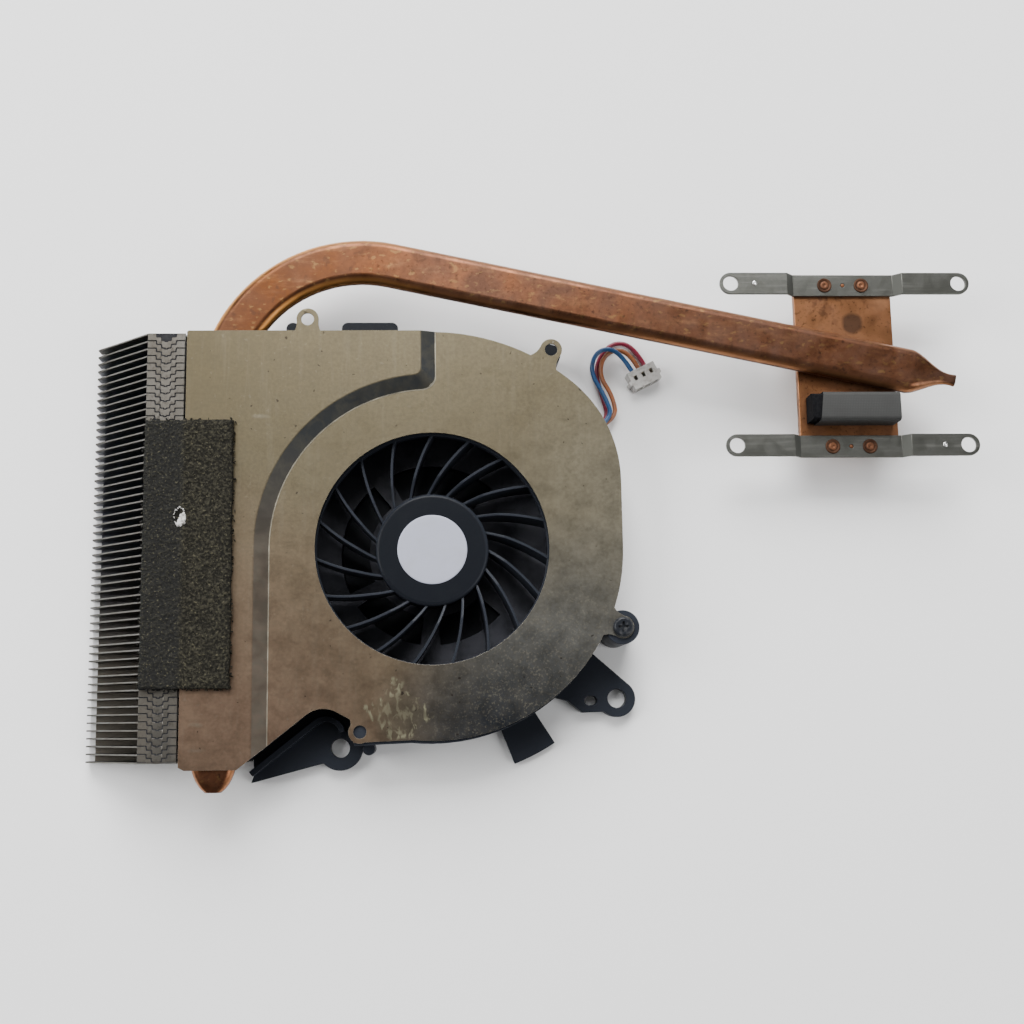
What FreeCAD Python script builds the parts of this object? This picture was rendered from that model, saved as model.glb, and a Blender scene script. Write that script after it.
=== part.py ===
import FreeCAD, Part
import Sketcher
import math
import os

Vector = FreeCAD.Vector

# Driving dimensions, in millimetres and degrees. A Level is a height above the surface that the
# cooler stands on. The part's own zero height is the cold plate's contact face, and a Distance,
# a Drop and a Rise are measured from the middle of that plate to the left, down and up.
SIZES = (
    ("PlateWidth", 21.4),
    ("PlateMargin", 1.8),
    ("PlateThick", 1.5),
    ("PlateLevel", 8.0),
    ("PlateCorner", 0.5),
    ("ArmHoleSpan", 50.0),
    ("ArmPairSpan", 36.0),
    ("ArmWidth", 4.8),
    ("ArmThick", 0.7),
    ("ArmRise", 1.4),
    ("ArmJoggle", 1.6),
    ("ArmHoleRadius", 1.65),
    ("DimpleRadius", 0.45),
    ("DimpleDepth", 0.3),
    ("DimpleSpan", 39.6),
    ("RivetSpan", 8.1),
    ("RivetShankRadius", 0.8),
    ("RivetHeadRadius", 1.5),
    ("RivetHeadThick", 0.35),
    ("HoleClearance", 0.05),
    ("PipeWidth", 9.7),
    ("PipeThick", 4.0),
    ("PipeBendRadius", 30.0),
    ("PipeSlope", 12.0),
    ("PipeOffset", 0.9),
    ("PipeLegDistance", 134.9),
    ("PipeShoulder", 13.1),
    ("PipePinch", 6.5),
    ("PipeTail", 3.6),
    ("PipeTailWidth", 2.6),
    ("PipeTailThick", 1.6),
    ("LegShoulder", 82.6),
    ("LegCone", 6.9),
    ("LegTipWidth", 3.4),
    ("GasketLength", 19.2),
    ("GasketWidth", 6.3),
    ("GasketHeight", 5.0),
    ("GasketRound", 0.8),
    ("GasketDrop", 10.1),
    ("FinCount", 56),
    ("FinPitch", 1.625),
    ("FinThick", 0.3),
    ("FinRise", 6.1),
    ("FinTipDistance", 163.3),
    ("FinTopDistance", 149.9),
    ("FinTipLevel", 2.4),
    ("FinHeight", 13.5),
    ("FinLipInset", 1.4),
    ("StripThick", 0.3),
    ("SeatDistance", 142.0),
    ("FinBackDistance", 128.6),
    ("CoverThick", 0.5),
    ("FanRoofLevel", 13.0),
    ("RoofStep", 1.0),
    ("StepRun", 3.1),
    ("StepRadius", 33.8),
    ("StepLineDistance", 89.3),
    ("StepCorner", 2.8),
    ("CoverDistance", 141.6),
    ("CoverRise", 6.6),
    ("CoverDrop", 85.0),
    ("CornerCut", 0.6),
    ("CoverLip", 1.2),
    ("FanDistance", 90.2),
    ("FanDrop", 39.8),
    ("InletRadius", 24.4),
    ("ScrollTurn", 50.0),
    ("ScrollRadius", 39.8),
    ("BandReach", 18.34),
    ("CrestRadius", 5.5),
    ("CrestDistance", 112.7),
    ("CrestDrop", 72.9),
    ("CrestSlope", 38.2),
    ("CrestFall", 28.0),
    ("CutoffReach", 5.5),
    ("EarRadius", 2.35),
    ("EarReach", 3.6),
    ("EarFlare", 1.1),
    ("EarHoleRadius", 1.35),
    ("TopEarDistance", 116.3),
    ("TopEarRise", 9.1),
    ("SideEarDistance", 64.6),
    ("SideEarRise", 2.65),
    ("LowEarReach", 7.5),
    ("LowEarRise", 0.75),
    ("ScrewEarDistance", 50.9),
    ("ScrewEarDrop", 56.7),
    ("FloorThick", 1.4),
    ("WallThick", 1.2),
    ("WallInset", 0.4),
    ("LowWallShift", 0.7),
    ("LowWallRadius", 40.1),
    ("WindowInnerRadius", 13.6),
    ("WindowOuterRadius", 19.6),
    ("LugThick", 2.6),
    ("LugRadius", 4.7),
    ("LugHoleRadius", 2.0),
    ("LugDistance", 109.9),
    ("LugDrop", 81.1),
    ("SideLugRadius", 3.95),
    ("SideLugDistance", 50.9),
    ("SideLugDrop", 71.2),
    ("SlotLength", 2.7),
    ("SlotWidth", 1.9),
    ("SlotDistance", 56.55),
    ("SlotDrop", 71.6),
    ("RibLevel", 6.0),
    ("RibThick", 1.2),
    ("RibGap", 2.4),
    ("TabThick", 1.6),
    ("ShortBumpInset", 9.0),
    ("ShortBumpLength", 2.8),
    ("LongBumpReach", 19.0),
    ("LongBumpLength", 12.0),
    ("BumpRise", 2.4),
    ("BumpRound", 1.3),
    ("PostRadius", 2.4),
    ("PostLevel", 9.4),
    ("ScrewBossRadius", 3.55),
    ("ScrewHeadRadius", 2.1),
    ("ScrewHeadThick", 0.9),
    ("ScrewShankRadius", 0.95),
    ("ScrewLength", 6.0),
    ("RecessDepth", 0.5),
    ("RecessSpan", 2.2),
    ("RecessWidth", 0.5),
    ("HubRadius", 11.9),
    ("HubTopLevel", 9.8),
    ("HubWall", 0.9),
    ("HubRound", 0.8),
    ("RotorLevel", 3.0),
    ("BladeCount", 19),
    ("BladeTopLevel", 10.9),
    ("BladeRootLevel", 9.0),
    ("BladeRise", 4.0),
    ("BladeThick", 0.55),
    ("BladeTipRadius", 28.6),
    ("BladeSweep", 29.0),
    ("RingRadius", 24.9),
    ("RingThick", 0.7),
    ("RingHeight", 1.8),
    ("LabelRadius", 7.35),
    ("LabelThick", 0.12),
    ("YokeThick", 0.5),
    ("MagnetThick", 1.1),
    ("MagnetHeight", 4.4),
    ("ShaftRadius", 1.0),
    ("BearingRadius", 2.4),
    ("BearingHeight", 4.6),
    ("BearingGap", 0.03),
    ("PostWall", 0.8),
    ("AirGap", 0.4),
    ("StatorHeight", 2.6),
    ("StatorLevel", 4.2),
    ("StatorRing", 1.4),
    ("PoleCount", 6),
    ("PoleWidth", 1.7),
    ("ShoeThick", 0.8),
    ("ShoeAngle", 44.0),
    ("CoilThick", 0.8),
    ("BoardRadius", 8.6),
    ("BoardThick", 0.6),
    ("BoardGap", 0.5),
    ("ThrustThick", 0.3),
    ("FoamWidth", 18.0),
    ("FoamLength", 55.9),
    ("FoamTopLevel", 15.8),
    ("FoamDistance", 131.3),
    ("FoamDrop", 12.9),
    ("LeadDiameter", 1.0),
    ("LeadLowLevel", 0.6),
    ("LeadMidLevel", 1.65),
    ("LeadTopLevel", 2.7),
    ("LeadExitDistance", 53.6),
    ("LeadExitDrop", 12.0),
    ("PlugLength", 6.6),
    ("PlugDepth", 4.2),
    ("PlugHeight", 3.3),
    ("PlugWall", 0.6),
    ("PlugBay", 1.9),
    ("PlugPitch", 1.9),
    ("PlugAngle", 26.6),
    ("PlugDistance", 42.9),
    ("PlugDrop", 0.1),
    ("ContactWidth", 0.8),
)

doc = FreeCAD.newDocument("LaptopCooler")
sheet = doc.addObject("Spreadsheet::Sheet", "Sizes")
for row, (alias, value) in enumerate(SIZES, start=1):
    sheet.set("A%d" % row, alias)
    sheet.set("B%d" % row, str(value))
    sheet.setAlias("B%d" % row, alias)
doc.recompute()


def size(alias):
    return float(sheet.get(alias))


def level(height):
    """Turn a height above the standing surface into the part's own height."""
    return height - size("PlateLevel")


def polar(centre, radius, degrees):
    angle = math.radians(degrees)
    return centre + Vector(radius * math.cos(angle), radius * math.sin(angle), 0)


def line(start, end):
    return Part.LineSegment(start, end)


def arc(centre, radius, start, end):
    """The arc from one angle to the other, by way of the angle halfway between them."""
    middle = (start + end) / 2.0
    return Part.Arc(polar(centre, radius, start), polar(centre, radius, middle), polar(centre, radius, end))


def circle(centre, radius):
    return Part.Circle(centre, Vector(0, 0, 1), radius)


def closed(points):
    return [line(start, end) for start, end in zip(points, points[1:] + points[:1])]


def box_sides(low_x, low_y, high_x, high_y):
    return closed([
        Vector(low_x, low_y, 0),
        Vector(high_x, low_y, 0),
        Vector(high_x, high_y, 0),
        Vector(low_x, high_y, 0),
    ])


def spot(distance, rise):
    return Vector(-size(distance), rise, 0)


# Bodies with sketches on their own planes

def new_body(label):
    body = doc.addObject("PartDesign::Body", label)
    body.Label = label
    return body


def origin_part(body, role):
    return next(item for item in body.Origin.OriginFeatures if item.Role == role)


def body_sketch(body, name, role, geometry, offset="0"):
    sketch = body.newObject("Sketcher::SketchObject", name)
    sketch.AttachmentSupport = (origin_part(body, role), [""])
    sketch.MapMode = "FlatFace"
    sketch.addGeometry(geometry, False)
    sketch.setExpression("AttachmentOffset.Base.z", offset)
    return sketch


def bind_radius(sketch, index, alias):
    rule = sketch.addConstraint(Sketcher.Constraint("Radius", index, size(alias)))
    sketch.setExpression("Constraints[%d]" % rule, "Sizes." + alias)


def pad(body, name, sketch, length, both=False, back=False):
    feature = body.newObject("PartDesign::Pad", name)
    feature.Profile = sketch
    feature.setExpression("Length", length)
    feature.Midplane = both
    feature.Reversed = back
    doc.recompute()
    return feature


def pocket(body, name, sketch, length, back=False, both=False):
    feature = body.newObject("PartDesign::Pocket", name)
    feature.Profile = sketch
    feature.setExpression("Length", length)
    feature.Midplane = both
    feature.Reversed = back
    before = body.Shape.Volume
    doc.recompute()
    if not body.Shape.Volume < before:
        raise ValueError(name + " cuts nothing")
    return feature


def revolve(body, name, sketch):
    feature = body.newObject("PartDesign::Revolution", name)
    feature.Profile = sketch
    feature.ReferenceAxis = (sketch, ["V_Axis"])
    feature.Angle = 360.0
    doc.recompute()
    return feature


def polar_pattern(body, name, feature, count):
    pattern = body.newObject("PartDesign::PolarPattern", name)
    pattern.Originals = [feature]
    pattern.Axis = (origin_part(body, "Z_Axis"), [""])
    pattern.Angle = 360.0
    pattern.setExpression("Occurrences", count)
    body.Tip = pattern
    doc.recompute()
    return pattern


def upright(points):
    """Corners of a turned section, given as radius and height, as closed sides."""
    return closed([Vector(radius, height, 0) for radius, height in points])


# Free sketches, extrusions and booleans

def free_sketch(name, geometry, height):
    sketch = doc.addObject("Sketcher::SketchObject", name)
    sketch.addGeometry(geometry, False)
    sketch.setExpression("Placement.Base.z", height)
    return sketch


def extrude(name, geometry, bottom, length):
    solid = doc.addObject("Part::Extrusion", name)
    solid.Base = free_sketch(name + "_sketch", geometry, bottom)
    solid.DirMode = "Custom"
    solid.Dir = Vector(0, 0, 1)
    solid.Solid = True
    solid.setExpression("LengthFwd", length)
    return solid


def fuse(name, shapes):
    solid = doc.addObject("Part::MultiFuse", name)
    solid.Shapes = shapes
    solid.Refine = True
    return solid


def cut(name, base, tool):
    solid = doc.addObject("Part::Cut", name)
    solid.Base = base
    solid.Tool = tool
    solid.Refine = True
    return solid


def common(name, shapes):
    solid = doc.addObject("Part::MultiCommon", name)
    solid.Shapes = shapes
    solid.Refine = True
    return solid


def finish(solid, label):
    solid.Label = label
    return solid


SURFACE = "-Sizes.PlateLevel"
FAN = Vector(-size("FanDistance"), -size("FanDrop"), 0)
PLATE_TOP = "Sizes.PlateThick"
PLATE_HOLES = [
    (side * size("RivetSpan") / 2, end * size("ArmPairSpan") / 2)
    for side in (-1, 1)
    for end in (-1, 1)
]


# Cold plate: a flat copper slug, drilled for the rivets that hold the two arms.

def cold_plate():
    body = new_body("cold_plate")
    half_width = size("PlateWidth") / 2
    half_length = size("ArmPairSpan") / 2 + size("PlateMargin")
    outline = box_sides(-half_width, -half_length, half_width, half_length)
    slab = body_sketch(body, "plate_outline", "XY_Plane", outline)
    pad(body, "plate_slab", slab, "Sizes.PlateThick")
    corners = [
        "Edge%d" % number
        for number, edge in enumerate(body.Shape.Edges, start=1)
        if abs(edge.Length - size("PlateThick")) < 1e-6 and abs(edge.tangentAt(edge.FirstParameter).z) > 0.99
    ]
    rounding = body.newObject("PartDesign::Fillet", "plate_corners")
    rounding.Base = (body.getObject("plate_slab"), corners)
    rounding.setExpression("Radius", "Sizes.PlateCorner")
    doc.recompute()
    drill_radius = size("RivetShankRadius") + size("HoleClearance")
    holes = [circle(Vector(x, y, 0), drill_radius) for x, y in PLATE_HOLES]
    places = body_sketch(body, "rivet_places", "XY_Plane", holes)
    pocket(body, "rivet_holes", places, "Sizes.PlateThick", back=True)
    return body


# Spring arms: stamped steel strips with rounded ends, raised a little outside the plate.

def spring_arm(label, end):
    body = new_body(label)
    bottom = size("PlateThick")
    thick = size("ArmThick")
    rise = size("ArmRise")
    knee = size("PlateWidth") / 2 + 0.3
    foot = knee + size("ArmJoggle")
    tip = size("ArmHoleSpan") / 2 + size("ArmWidth") / 2
    lower = [(-tip, rise), (-foot, rise), (-knee, 0), (knee, 0), (foot, rise), (tip, rise)]
    points = [Vector(x, bottom + height, 0) for x, height in lower]
    points += [Vector(x, bottom + height + thick, 0) for x, height in reversed(lower)]
    middle = "-%d * Sizes.ArmPairSpan / 2" % end
    profile = body_sketch(body, label + "_profile", "XZ_Plane", closed(points), middle)
    strip = pad(body, label + "_strip", profile, "Sizes.ArmWidth", both=True)
    ends = [
        "Edge%d" % number
        for number, edge in enumerate(body.Shape.Edges, start=1)
        if abs(edge.Length - thick) < 1e-6 and abs(abs(edge.CenterOfMass.x) - tip) < 1e-6
        and abs(edge.tangentAt(edge.FirstParameter).z) > 0.99
    ]
    rounding = body.newObject("PartDesign::Fillet", label + "_ends")
    rounding.Base = (strip, ends)
    rounding.setExpression("Radius", "Sizes.ArmWidth / 2 - 0.01")
    doc.recompute()
    centre_y = end * size("ArmPairSpan") / 2
    reach = size("ArmHoleSpan") / 2
    holes = [circle(Vector(side * reach, centre_y, 0), size("ArmHoleRadius")) for side in (-1, 1)]
    shank = size("RivetShankRadius") + size("HoleClearance")
    holes += [circle(Vector(side * size("RivetSpan") / 2, centre_y, 0), shank) for side in (-1, 1)]
    places = body_sketch(body, label + "_holes", "XY_Plane", holes)
    for index in (0, 1):
        bind_radius(places, index, "ArmHoleRadius")
    depth = "Sizes.PlateThick + Sizes.ArmThick + Sizes.ArmRise"
    pocket(body, label + "_drilled", places, depth, back=True)
    outer = [circle(Vector(-end * size("DimpleSpan") / 2, centre_y, 0), size("DimpleRadius"))]
    spot_top = "Sizes.PlateThick + Sizes.ArmThick + Sizes.ArmRise"
    outer_mark = body_sketch(body, label + "_end_mark", "XY_Plane", outer, spot_top)
    pocket(body, label + "_end_dimple", outer_mark, "Sizes.DimpleDepth")
    inner = [circle(Vector(0, centre_y, 0), size("DimpleRadius"))]
    mark_level = "Sizes.PlateThick + Sizes.ArmThick"
    inner_mark = body_sketch(body, label + "_mid_mark", "XY_Plane", inner, mark_level)
    pocket(body, label + "_mid_dimple", inner_mark, "Sizes.DimpleDepth")
    return body


# Rivets: four copper rivets through the arms and the plate, each with a low round head.

def arm_rivets():
    head_bottom = size("PlateThick") + size("ArmThick")
    head_top = head_bottom + size("RivetHeadThick")
    shank = size("RivetShankRadius")
    head = size("RivetHeadRadius")
    section = upright([
        (0, 0),
        (shank, 0),
        (shank, head_bottom),
        (head, head_bottom),
        (head * 0.85, head_top),
        (0, head_top),
    ])
    rivets = []
    for number, (x, y) in enumerate(PLATE_HOLES, start=1):
        body = new_body("rivet_%d" % number)
        profile = body_sketch(body, "rivet_section_%d" % number, "XZ_Plane", section)
        revolve(body, "rivet_turned_%d" % number, profile)
        body.Placement.Base = Vector(x, y, 0)
        rivets.append(body)
    group = doc.addObject("Part::Compound", "arm_rivets")
    group.Links = rivets
    return finish(group, "arm_rivets")


# Heat pipe: a round copper pipe flattened to an oval, bent once, its ends pinched shut.

def oval(name, width, thick, placement):
    """A flattened-pipe section: two straights joined by two half circles."""
    half = thick / 2
    reach = (width - thick) / 2
    right = Vector(reach, 0, 0)
    left = Vector(-reach, 0, 0)
    sides = [
        line(Vector(-reach, -half, 0), Vector(reach, -half, 0)),
        arc(right, half, -90, 90),
        line(Vector(reach, half, 0), Vector(-reach, half, 0)),
        arc(left, half, 90, 270),
    ]
    sketch = doc.addObject("Sketcher::SketchObject", name)
    sketch.addGeometry(sides, False)
    sketch.Placement = placement
    return sketch


def heat_pipe():
    slope = math.radians(size("PipeSlope"))
    ahead = Vector(math.cos(slope), -math.sin(slope), 0)
    across = Vector(math.sin(slope), math.cos(slope), 0)
    bend = size("PipeBendRadius")
    middle = size("PlateThick") + size("PipeThick") / 2
    start = Vector(0, size("PipeOffset"), middle)
    centre_x = -size("PipeLegDistance") + bend
    centre_y = size("PipeOffset") + (-bend - math.sin(slope) * centre_x) / math.cos(slope)
    centre = Vector(centre_x, centre_y, middle)
    shoulder = start + ahead * size("PipeShoulder")
    leg_shoulder = Vector(-size("PipeLegDistance"), -size("LegShoulder"), middle)
    route = doc.addObject("Sketcher::SketchObject", "pipe_route")
    flat_shoulder = Vector(shoulder.x, shoulder.y, 0)
    flat_centre = Vector(centre.x, centre.y, 0)
    flat_leg = Vector(leg_shoulder.x, leg_shoulder.y, 0)
    bend_start = polar(flat_centre, bend, 90 - size("PipeSlope"))
    bend_end = polar(flat_centre, bend, 180)
    bend_arc = arc(flat_centre, bend, 90 - size("PipeSlope"), 180)
    route.addGeometry([line(flat_shoulder, bend_start), bend_arc, line(bend_end, flat_leg)], False)
    route.setExpression("Placement.Base.z", "Sizes.PlateThick + Sizes.PipeThick / 2")
    turn = FreeCAD.Rotation(across, Vector(0, 0, 1), ahead, "ZXY")
    leg_turn = FreeCAD.Rotation(Vector(1, 0, 0), Vector(0, 0, 1), Vector(0, -1, 0), "ZXY")
    width = size("PipeWidth")
    thick = size("PipeThick")
    run = doc.addObject("Part::Sweep", "pipe_run")
    run.Sections = [oval("pipe_section", width, thick, FreeCAD.Placement(shoulder, turn))]
    run.Spine = (route, ["Edge1", "Edge2", "Edge3"])
    run.Solid = True
    run.Frenet = False

    def pinch(name, base, rotation, direction, stages):
        sections = []
        for number, (along, wide, high) in enumerate(stages):
            place = FreeCAD.Placement(base + direction * along, rotation)
            sections.append(oval("%s_section_%d" % (name, number), wide, high, place))
        loft = doc.addObject("Part::Loft", name)
        loft.Sections = sections
        loft.Solid = True
        loft.Ruled = False
        return loft

    length = size("PipePinch")
    tail_width = size("PipeTailWidth")
    tail_thick = size("PipeTailThick")
    neck_width = tail_width * 1.35
    near_width = (width + neck_width) / 2
    near_thick = (thick + tail_thick) / 2
    front = [
        (0, width, thick),
        (length * 0.1, width * 0.97, thick * 0.99),
        (length * 0.55, near_width, near_thick * 1.1),
        (length, neck_width, tail_thick * 1.15),
        (length + size("PipeTail"), tail_width, tail_thick),
    ]
    cone = size("LegCone")
    tip = size("LegTipWidth")
    rear = [
        (0, width, thick),
        (cone * 0.2, width * 0.96, thick * 0.98),
        (cone * 0.75, (width + tip) / 2, thick * 0.8),
        (cone, tip, thick * 0.55),
    ]
    pieces = [
        run,
        pinch("pipe_front_pinch", shoulder, turn, ahead, front),
        pinch("pipe_rear_pinch", leg_shoulder, leg_turn, Vector(0, -1, 0), rear),
    ]
    return finish(fuse("heat_pipe", pieces), "heat_pipe")


# Gasket: a square conductive foam block stuck on the plate below the pipe.

def plate_gasket():
    body = new_body("plate_gasket")
    low = -size("GasketDrop") - size("GasketWidth") / 2
    high = low + size("GasketWidth")
    bottom = size("PlateThick")
    top = bottom + size("GasketHeight")
    radius = size("GasketRound")
    inner_top = top - radius
    sides = [
        line(Vector(low, bottom, 0), Vector(high, bottom, 0)),
        line(Vector(high, bottom, 0), Vector(high, inner_top, 0)),
        arc(Vector(high - radius, inner_top, 0), radius, 0, 90),
        line(Vector(high - radius, top, 0), Vector(low + radius, top, 0)),
        arc(Vector(low + radius, inner_top, 0), radius, 90, 180),
        line(Vector(low, inner_top, 0), Vector(low, bottom, 0)),
    ]
    section = body_sketch(body, "gasket_section", "YZ_Plane", sides)
    pad(body, "gasket_block", section, "Sizes.GasketLength", both=True)
    return body


# Fin stack: thin fins with folded lips that make one bottom strip and one zipped top strip.

def fin_stack():
    body = new_body("fin_stack")
    bottom = level(0)
    top = level(size("FinHeight"))
    seat = size("PlateThick")
    tip = -size("FinTipDistance")
    brow = -size("FinTopDistance")
    step = -size("SeatDistance")
    back = -size("FinBackDistance")
    strip = size("StripThick")
    first = "-Sizes.FinRise"
    run = "Sizes.FinPitch * (Sizes.FinCount - 1) + Sizes.FinThick"
    lip = box_sides(tip + size("FinLipInset"), bottom, back, bottom + strip)
    pad(body, "bottom_strip", body_sketch(body, "bottom_strip_sides", "XZ_Plane", lip, first), run)
    zip_row = box_sides(brow, top - strip, step, top)
    fin = closed([
        Vector(tip, bottom, 0),
        Vector(back, bottom, 0),
        Vector(back, seat, 0),
        Vector(back, seat, 0) + Vector(step - back, 0, 0),
        Vector(step, top, 0),
        Vector(brow, top, 0),
        Vector(tip, level(size("FinTipLevel")), 0),
    ])
    one_fin = pad(body, "fin", body_sketch(body, "fin_sides", "XZ_Plane", fin, first), "Sizes.FinThick")
    row = body.newObject("PartDesign::LinearPattern", "fin_row")
    row.Originals = [one_fin]
    row.Direction = (origin_part(body, "Y_Axis"), [""])
    row.Reversed = True
    row.setExpression("Length", "Sizes.FinPitch * (Sizes.FinCount - 1)")
    row.setExpression("Occurrences", "Sizes.FinCount")
    body.Tip = row
    doc.recompute()
    pad(body, "zip_strip", body_sketch(body, "zip_strip_sides", "XZ_Plane", zip_row, first), run)
    seat_strip = box_sides(step, seat - strip, back, seat)
    pad(body, "seat_strip", body_sketch(body, "seat_strip_sides", "XZ_Plane", seat_strip, first), run)
    return body


# Fan outline: a scroll of tangent arcs round the fan, open on its left into the fin duct.

def scroll(left, inset, low_centre, low_radius, closing):
    """The plan of the fan case, shrunk by inset, with its lower arc given on its own."""
    top_radius = size("CoverRise") + size("FanDrop") - inset
    turn = math.radians(size("ScrollTurn"))
    right = low_centre.x + low_radius
    reach = right - FAN.x
    turn_radius = (reach - top_radius * math.cos(turn)) / (1 - math.cos(turn))
    turn_centre = FAN + Vector(math.cos(turn), math.sin(turn), 0) * (top_radius - turn_radius)
    crest = Vector(-size("CrestDistance"), -size("CrestDrop") - size("CrestRadius"), 0)
    crest_radius = size("CrestRadius") + inset
    slope = size("CrestSlope")
    slope_top = polar(crest, crest_radius, 90 + slope)
    fall_top = polar(crest, crest_radius, 90 - size("CrestFall"))
    base = -size("CoverDrop") + inset
    run = (slope_top.y - base) / math.tan(math.radians(slope))
    slope_end = Vector(slope_top.x - run, base, 0)
    cutoff_x = size("CutoffReach") - size("CrestDistance") + inset / 2
    fall = (cutoff_x - fall_top.x) * math.tan(math.radians(size("CrestFall")))
    cutoff = Vector(cutoff_x, fall_top.y - fall, 0)
    band_angle = math.degrees(math.acos((crest.x + size("BandReach") - FAN.x) / size("ScrollRadius")))
    band_end = polar(low_centre, low_radius, -band_angle)
    heel = Vector(cutoff_x + 0.7, band_end.y - 0.45, 0)
    top_left = Vector(left, FAN.y + top_radius, 0)
    sides = [
        line(top_left, Vector(FAN.x, top_left.y, 0)),
        arc(FAN, top_radius, 90, size("ScrollTurn")),
        arc(turn_centre, turn_radius, size("ScrollTurn"), 0),
        line(Vector(right, turn_centre.y, 0), Vector(right, low_centre.y, 0)),
        arc(low_centre, low_radius, 0, -band_angle),
        line(band_end, heel),
        line(heel, cutoff),
        line(cutoff, fall_top),
        arc(crest, crest_radius, 90 - size("CrestFall"), 90 + slope),
    ]
    return sides + closing(slope_top, slope_end, base, top_left)


def ear(centre, towards, radius, reach, flare):
    """A round ear on a neck that flares out towards the case."""
    side = Vector(-towards.y, towards.x, 0)
    root = centre + towards * reach
    sides = []
    for sign in (1, -1):
        tip = centre + side * (sign * radius)
        waist = centre + towards * (reach * 0.62) + side * (sign * (radius + flare * 0.2))
        foot = root + side * (sign * (radius + flare))
        sides.append((tip, waist, foot))
    (tip_a, waist_a, foot_a), (tip_b, waist_b, foot_b) = sides
    return [
        Part.Arc(tip_a, centre - towards * radius, tip_b),
        Part.Arc(tip_b, waist_b, foot_b),
        line(foot_b, foot_a),
        Part.Arc(foot_a, waist_a, tip_a),
    ]


CREST = Vector(-size("CrestDistance"), -size("CrestDrop") - size("CrestRadius"), 0)
TOP_EAR = spot("TopEarDistance", size("TopEarRise"))
SIDE_EAR = spot("SideEarDistance", size("SideEarRise"))
LOW_EAR = CREST + Vector(size("LowEarReach"), size("LowEarRise"), 0)
SCREW_EAR = spot("ScrewEarDistance", -size("ScrewEarDrop"))
EARS = (TOP_EAR, SIDE_EAR, LOW_EAR, SCREW_EAR)


def towards_fan(place):
    direction = FAN - place
    return direction.normalize()


# Roof: the space under a plane with the raised, sloping-edged area over the duct and the pipe.

def raised_area(name, widen, height):
    radius = size("StepRadius") + widen
    edge_x = -size("StepLineDistance") - widen
    round_radius = size("StepCorner") - widen * 0.4
    top = size("CoverRise") + 9.0
    base = -size("CoverDrop") - 4.0
    left = -size("CoverDistance") - 4.0
    centre_x = edge_x - round_radius
    centre = Vector(centre_x, FAN.y + math.sqrt((radius + round_radius) ** 2 - (centre_x - FAN.x) ** 2), 0)
    bearing = math.degrees(math.atan2(centre.y - FAN.y, centre.x - FAN.x))
    sides = [
        line(Vector(edge_x, top, 0), Vector(edge_x, centre.y, 0)),
        arc(centre, round_radius, 0, bearing - 180),
        arc(FAN, radius, bearing, 180),
        line(polar(FAN, radius, 180), Vector(FAN.x - radius, base, 0)),
        line(Vector(FAN.x - radius, base, 0), Vector(left, base, 0)),
        line(Vector(left, base, 0), Vector(left, top, 0)),
        line(Vector(left, top, 0), Vector(edge_x, top, 0)),
    ]
    return free_sketch(name, sides, height)


def under_roof(name, lowered):
    fan_level = "Sizes.FanRoofLevel - Sizes.PlateLevel - " + lowered
    low = box_sides(-size("FinTipDistance"), -size("CoverDrop") - 20, 0, size("CoverRise") + 20)
    slab = extrude(name + "_slab", low, SURFACE + " - 1", "Sizes.FanRoofLevel + 1 - " + lowered)
    raised = doc.addObject("Part::Loft", name + "_raised")
    foot = raised_area(name + "_foot", 0, fan_level)
    brow = raised_area(name + "_brow", size("StepRun"), fan_level + " + Sizes.RoofStep")
    raised.Sections = [foot, brow]
    raised.Solid = True
    raised.Ruled = True
    return fuse(name, [slab, raised])


# Fan cover: one stamped steel sheet with the inlet, the raised step, four ears and a folded lip.

def fan_cover():
    left = -size("CoverDistance")
    cut_back = size("CornerCut")

    def closing(slope_top, slope_end, base, top_left):
        points = [
            slope_top,
            slope_end,
            Vector(left + cut_back * 2, base, 0),
            Vector(left, base + cut_back, 0),
            Vector(left, top_left.y - cut_back / 2, 0),
            Vector(left + cut_back / 2, top_left.y, 0),
        ]
        return [line(start, end) for start, end in zip(points, points[1:])]

    outline = scroll(left + cut_back / 2, 0, FAN, size("ScrollRadius"), closing)
    floor = "Sizes.FanRoofLevel - Sizes.PlateLevel - 2"
    depth = "Sizes.RoofStep + 2"
    blanks = [extrude("cover_blank", outline, floor, depth)]
    for number, place in enumerate(EARS, start=1):
        towards = Vector(0, -1, 0) if place == TOP_EAR else towards_fan(place)
        plan = ear(place, towards, size("EarRadius"), size("EarReach"), size("EarFlare"))
        blanks.append(extrude("cover_ear_%d" % number, plan, floor, depth))
    blank = fuse("cover_plan", blanks)
    sheet_top = common("cover_solid", [blank, under_roof("roof", "0")])
    hollow = under_roof("underside", "Sizes.CoverThick")
    shell = cut("cover_shell", sheet_top, hollow)
    holes = [circle(FAN, size("InletRadius"))]
    holes += [circle(place, size("EarHoleRadius")) for place in EARS]
    punch = extrude("cover_punch", holes[:1], floor, depth)
    punches = [punch]
    for number, hole in enumerate(holes[1:], start=1):
        punches.append(extrude("cover_hole_%d" % number, [hole], floor, depth))
    punched = cut("cover_punched", shell, fuse("cover_punches", punches))
    lip_top = "Sizes.FanRoofLevel + Sizes.RoofStep - Sizes.PlateLevel - Sizes.CoverThick"
    lip_low = -size("CoverDrop") + cut_back * 2
    lip_sides = box_sides(left, lip_low, left + size("CoverThick"), size("CoverRise") - cut_back)
    lip = extrude("cover_lip", lip_sides, lip_top + " - Sizes.CoverLip", "Sizes.CoverLip")
    return finish(fuse("fan_cover", [punched, lip]), "fan_cover"), hollow


# Fan housing: the moulded case under the cover, with its scroll wall, inlet windows in the floor,
# motor post, screw bosses and the lugs that fix the cooler in the laptop.

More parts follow.
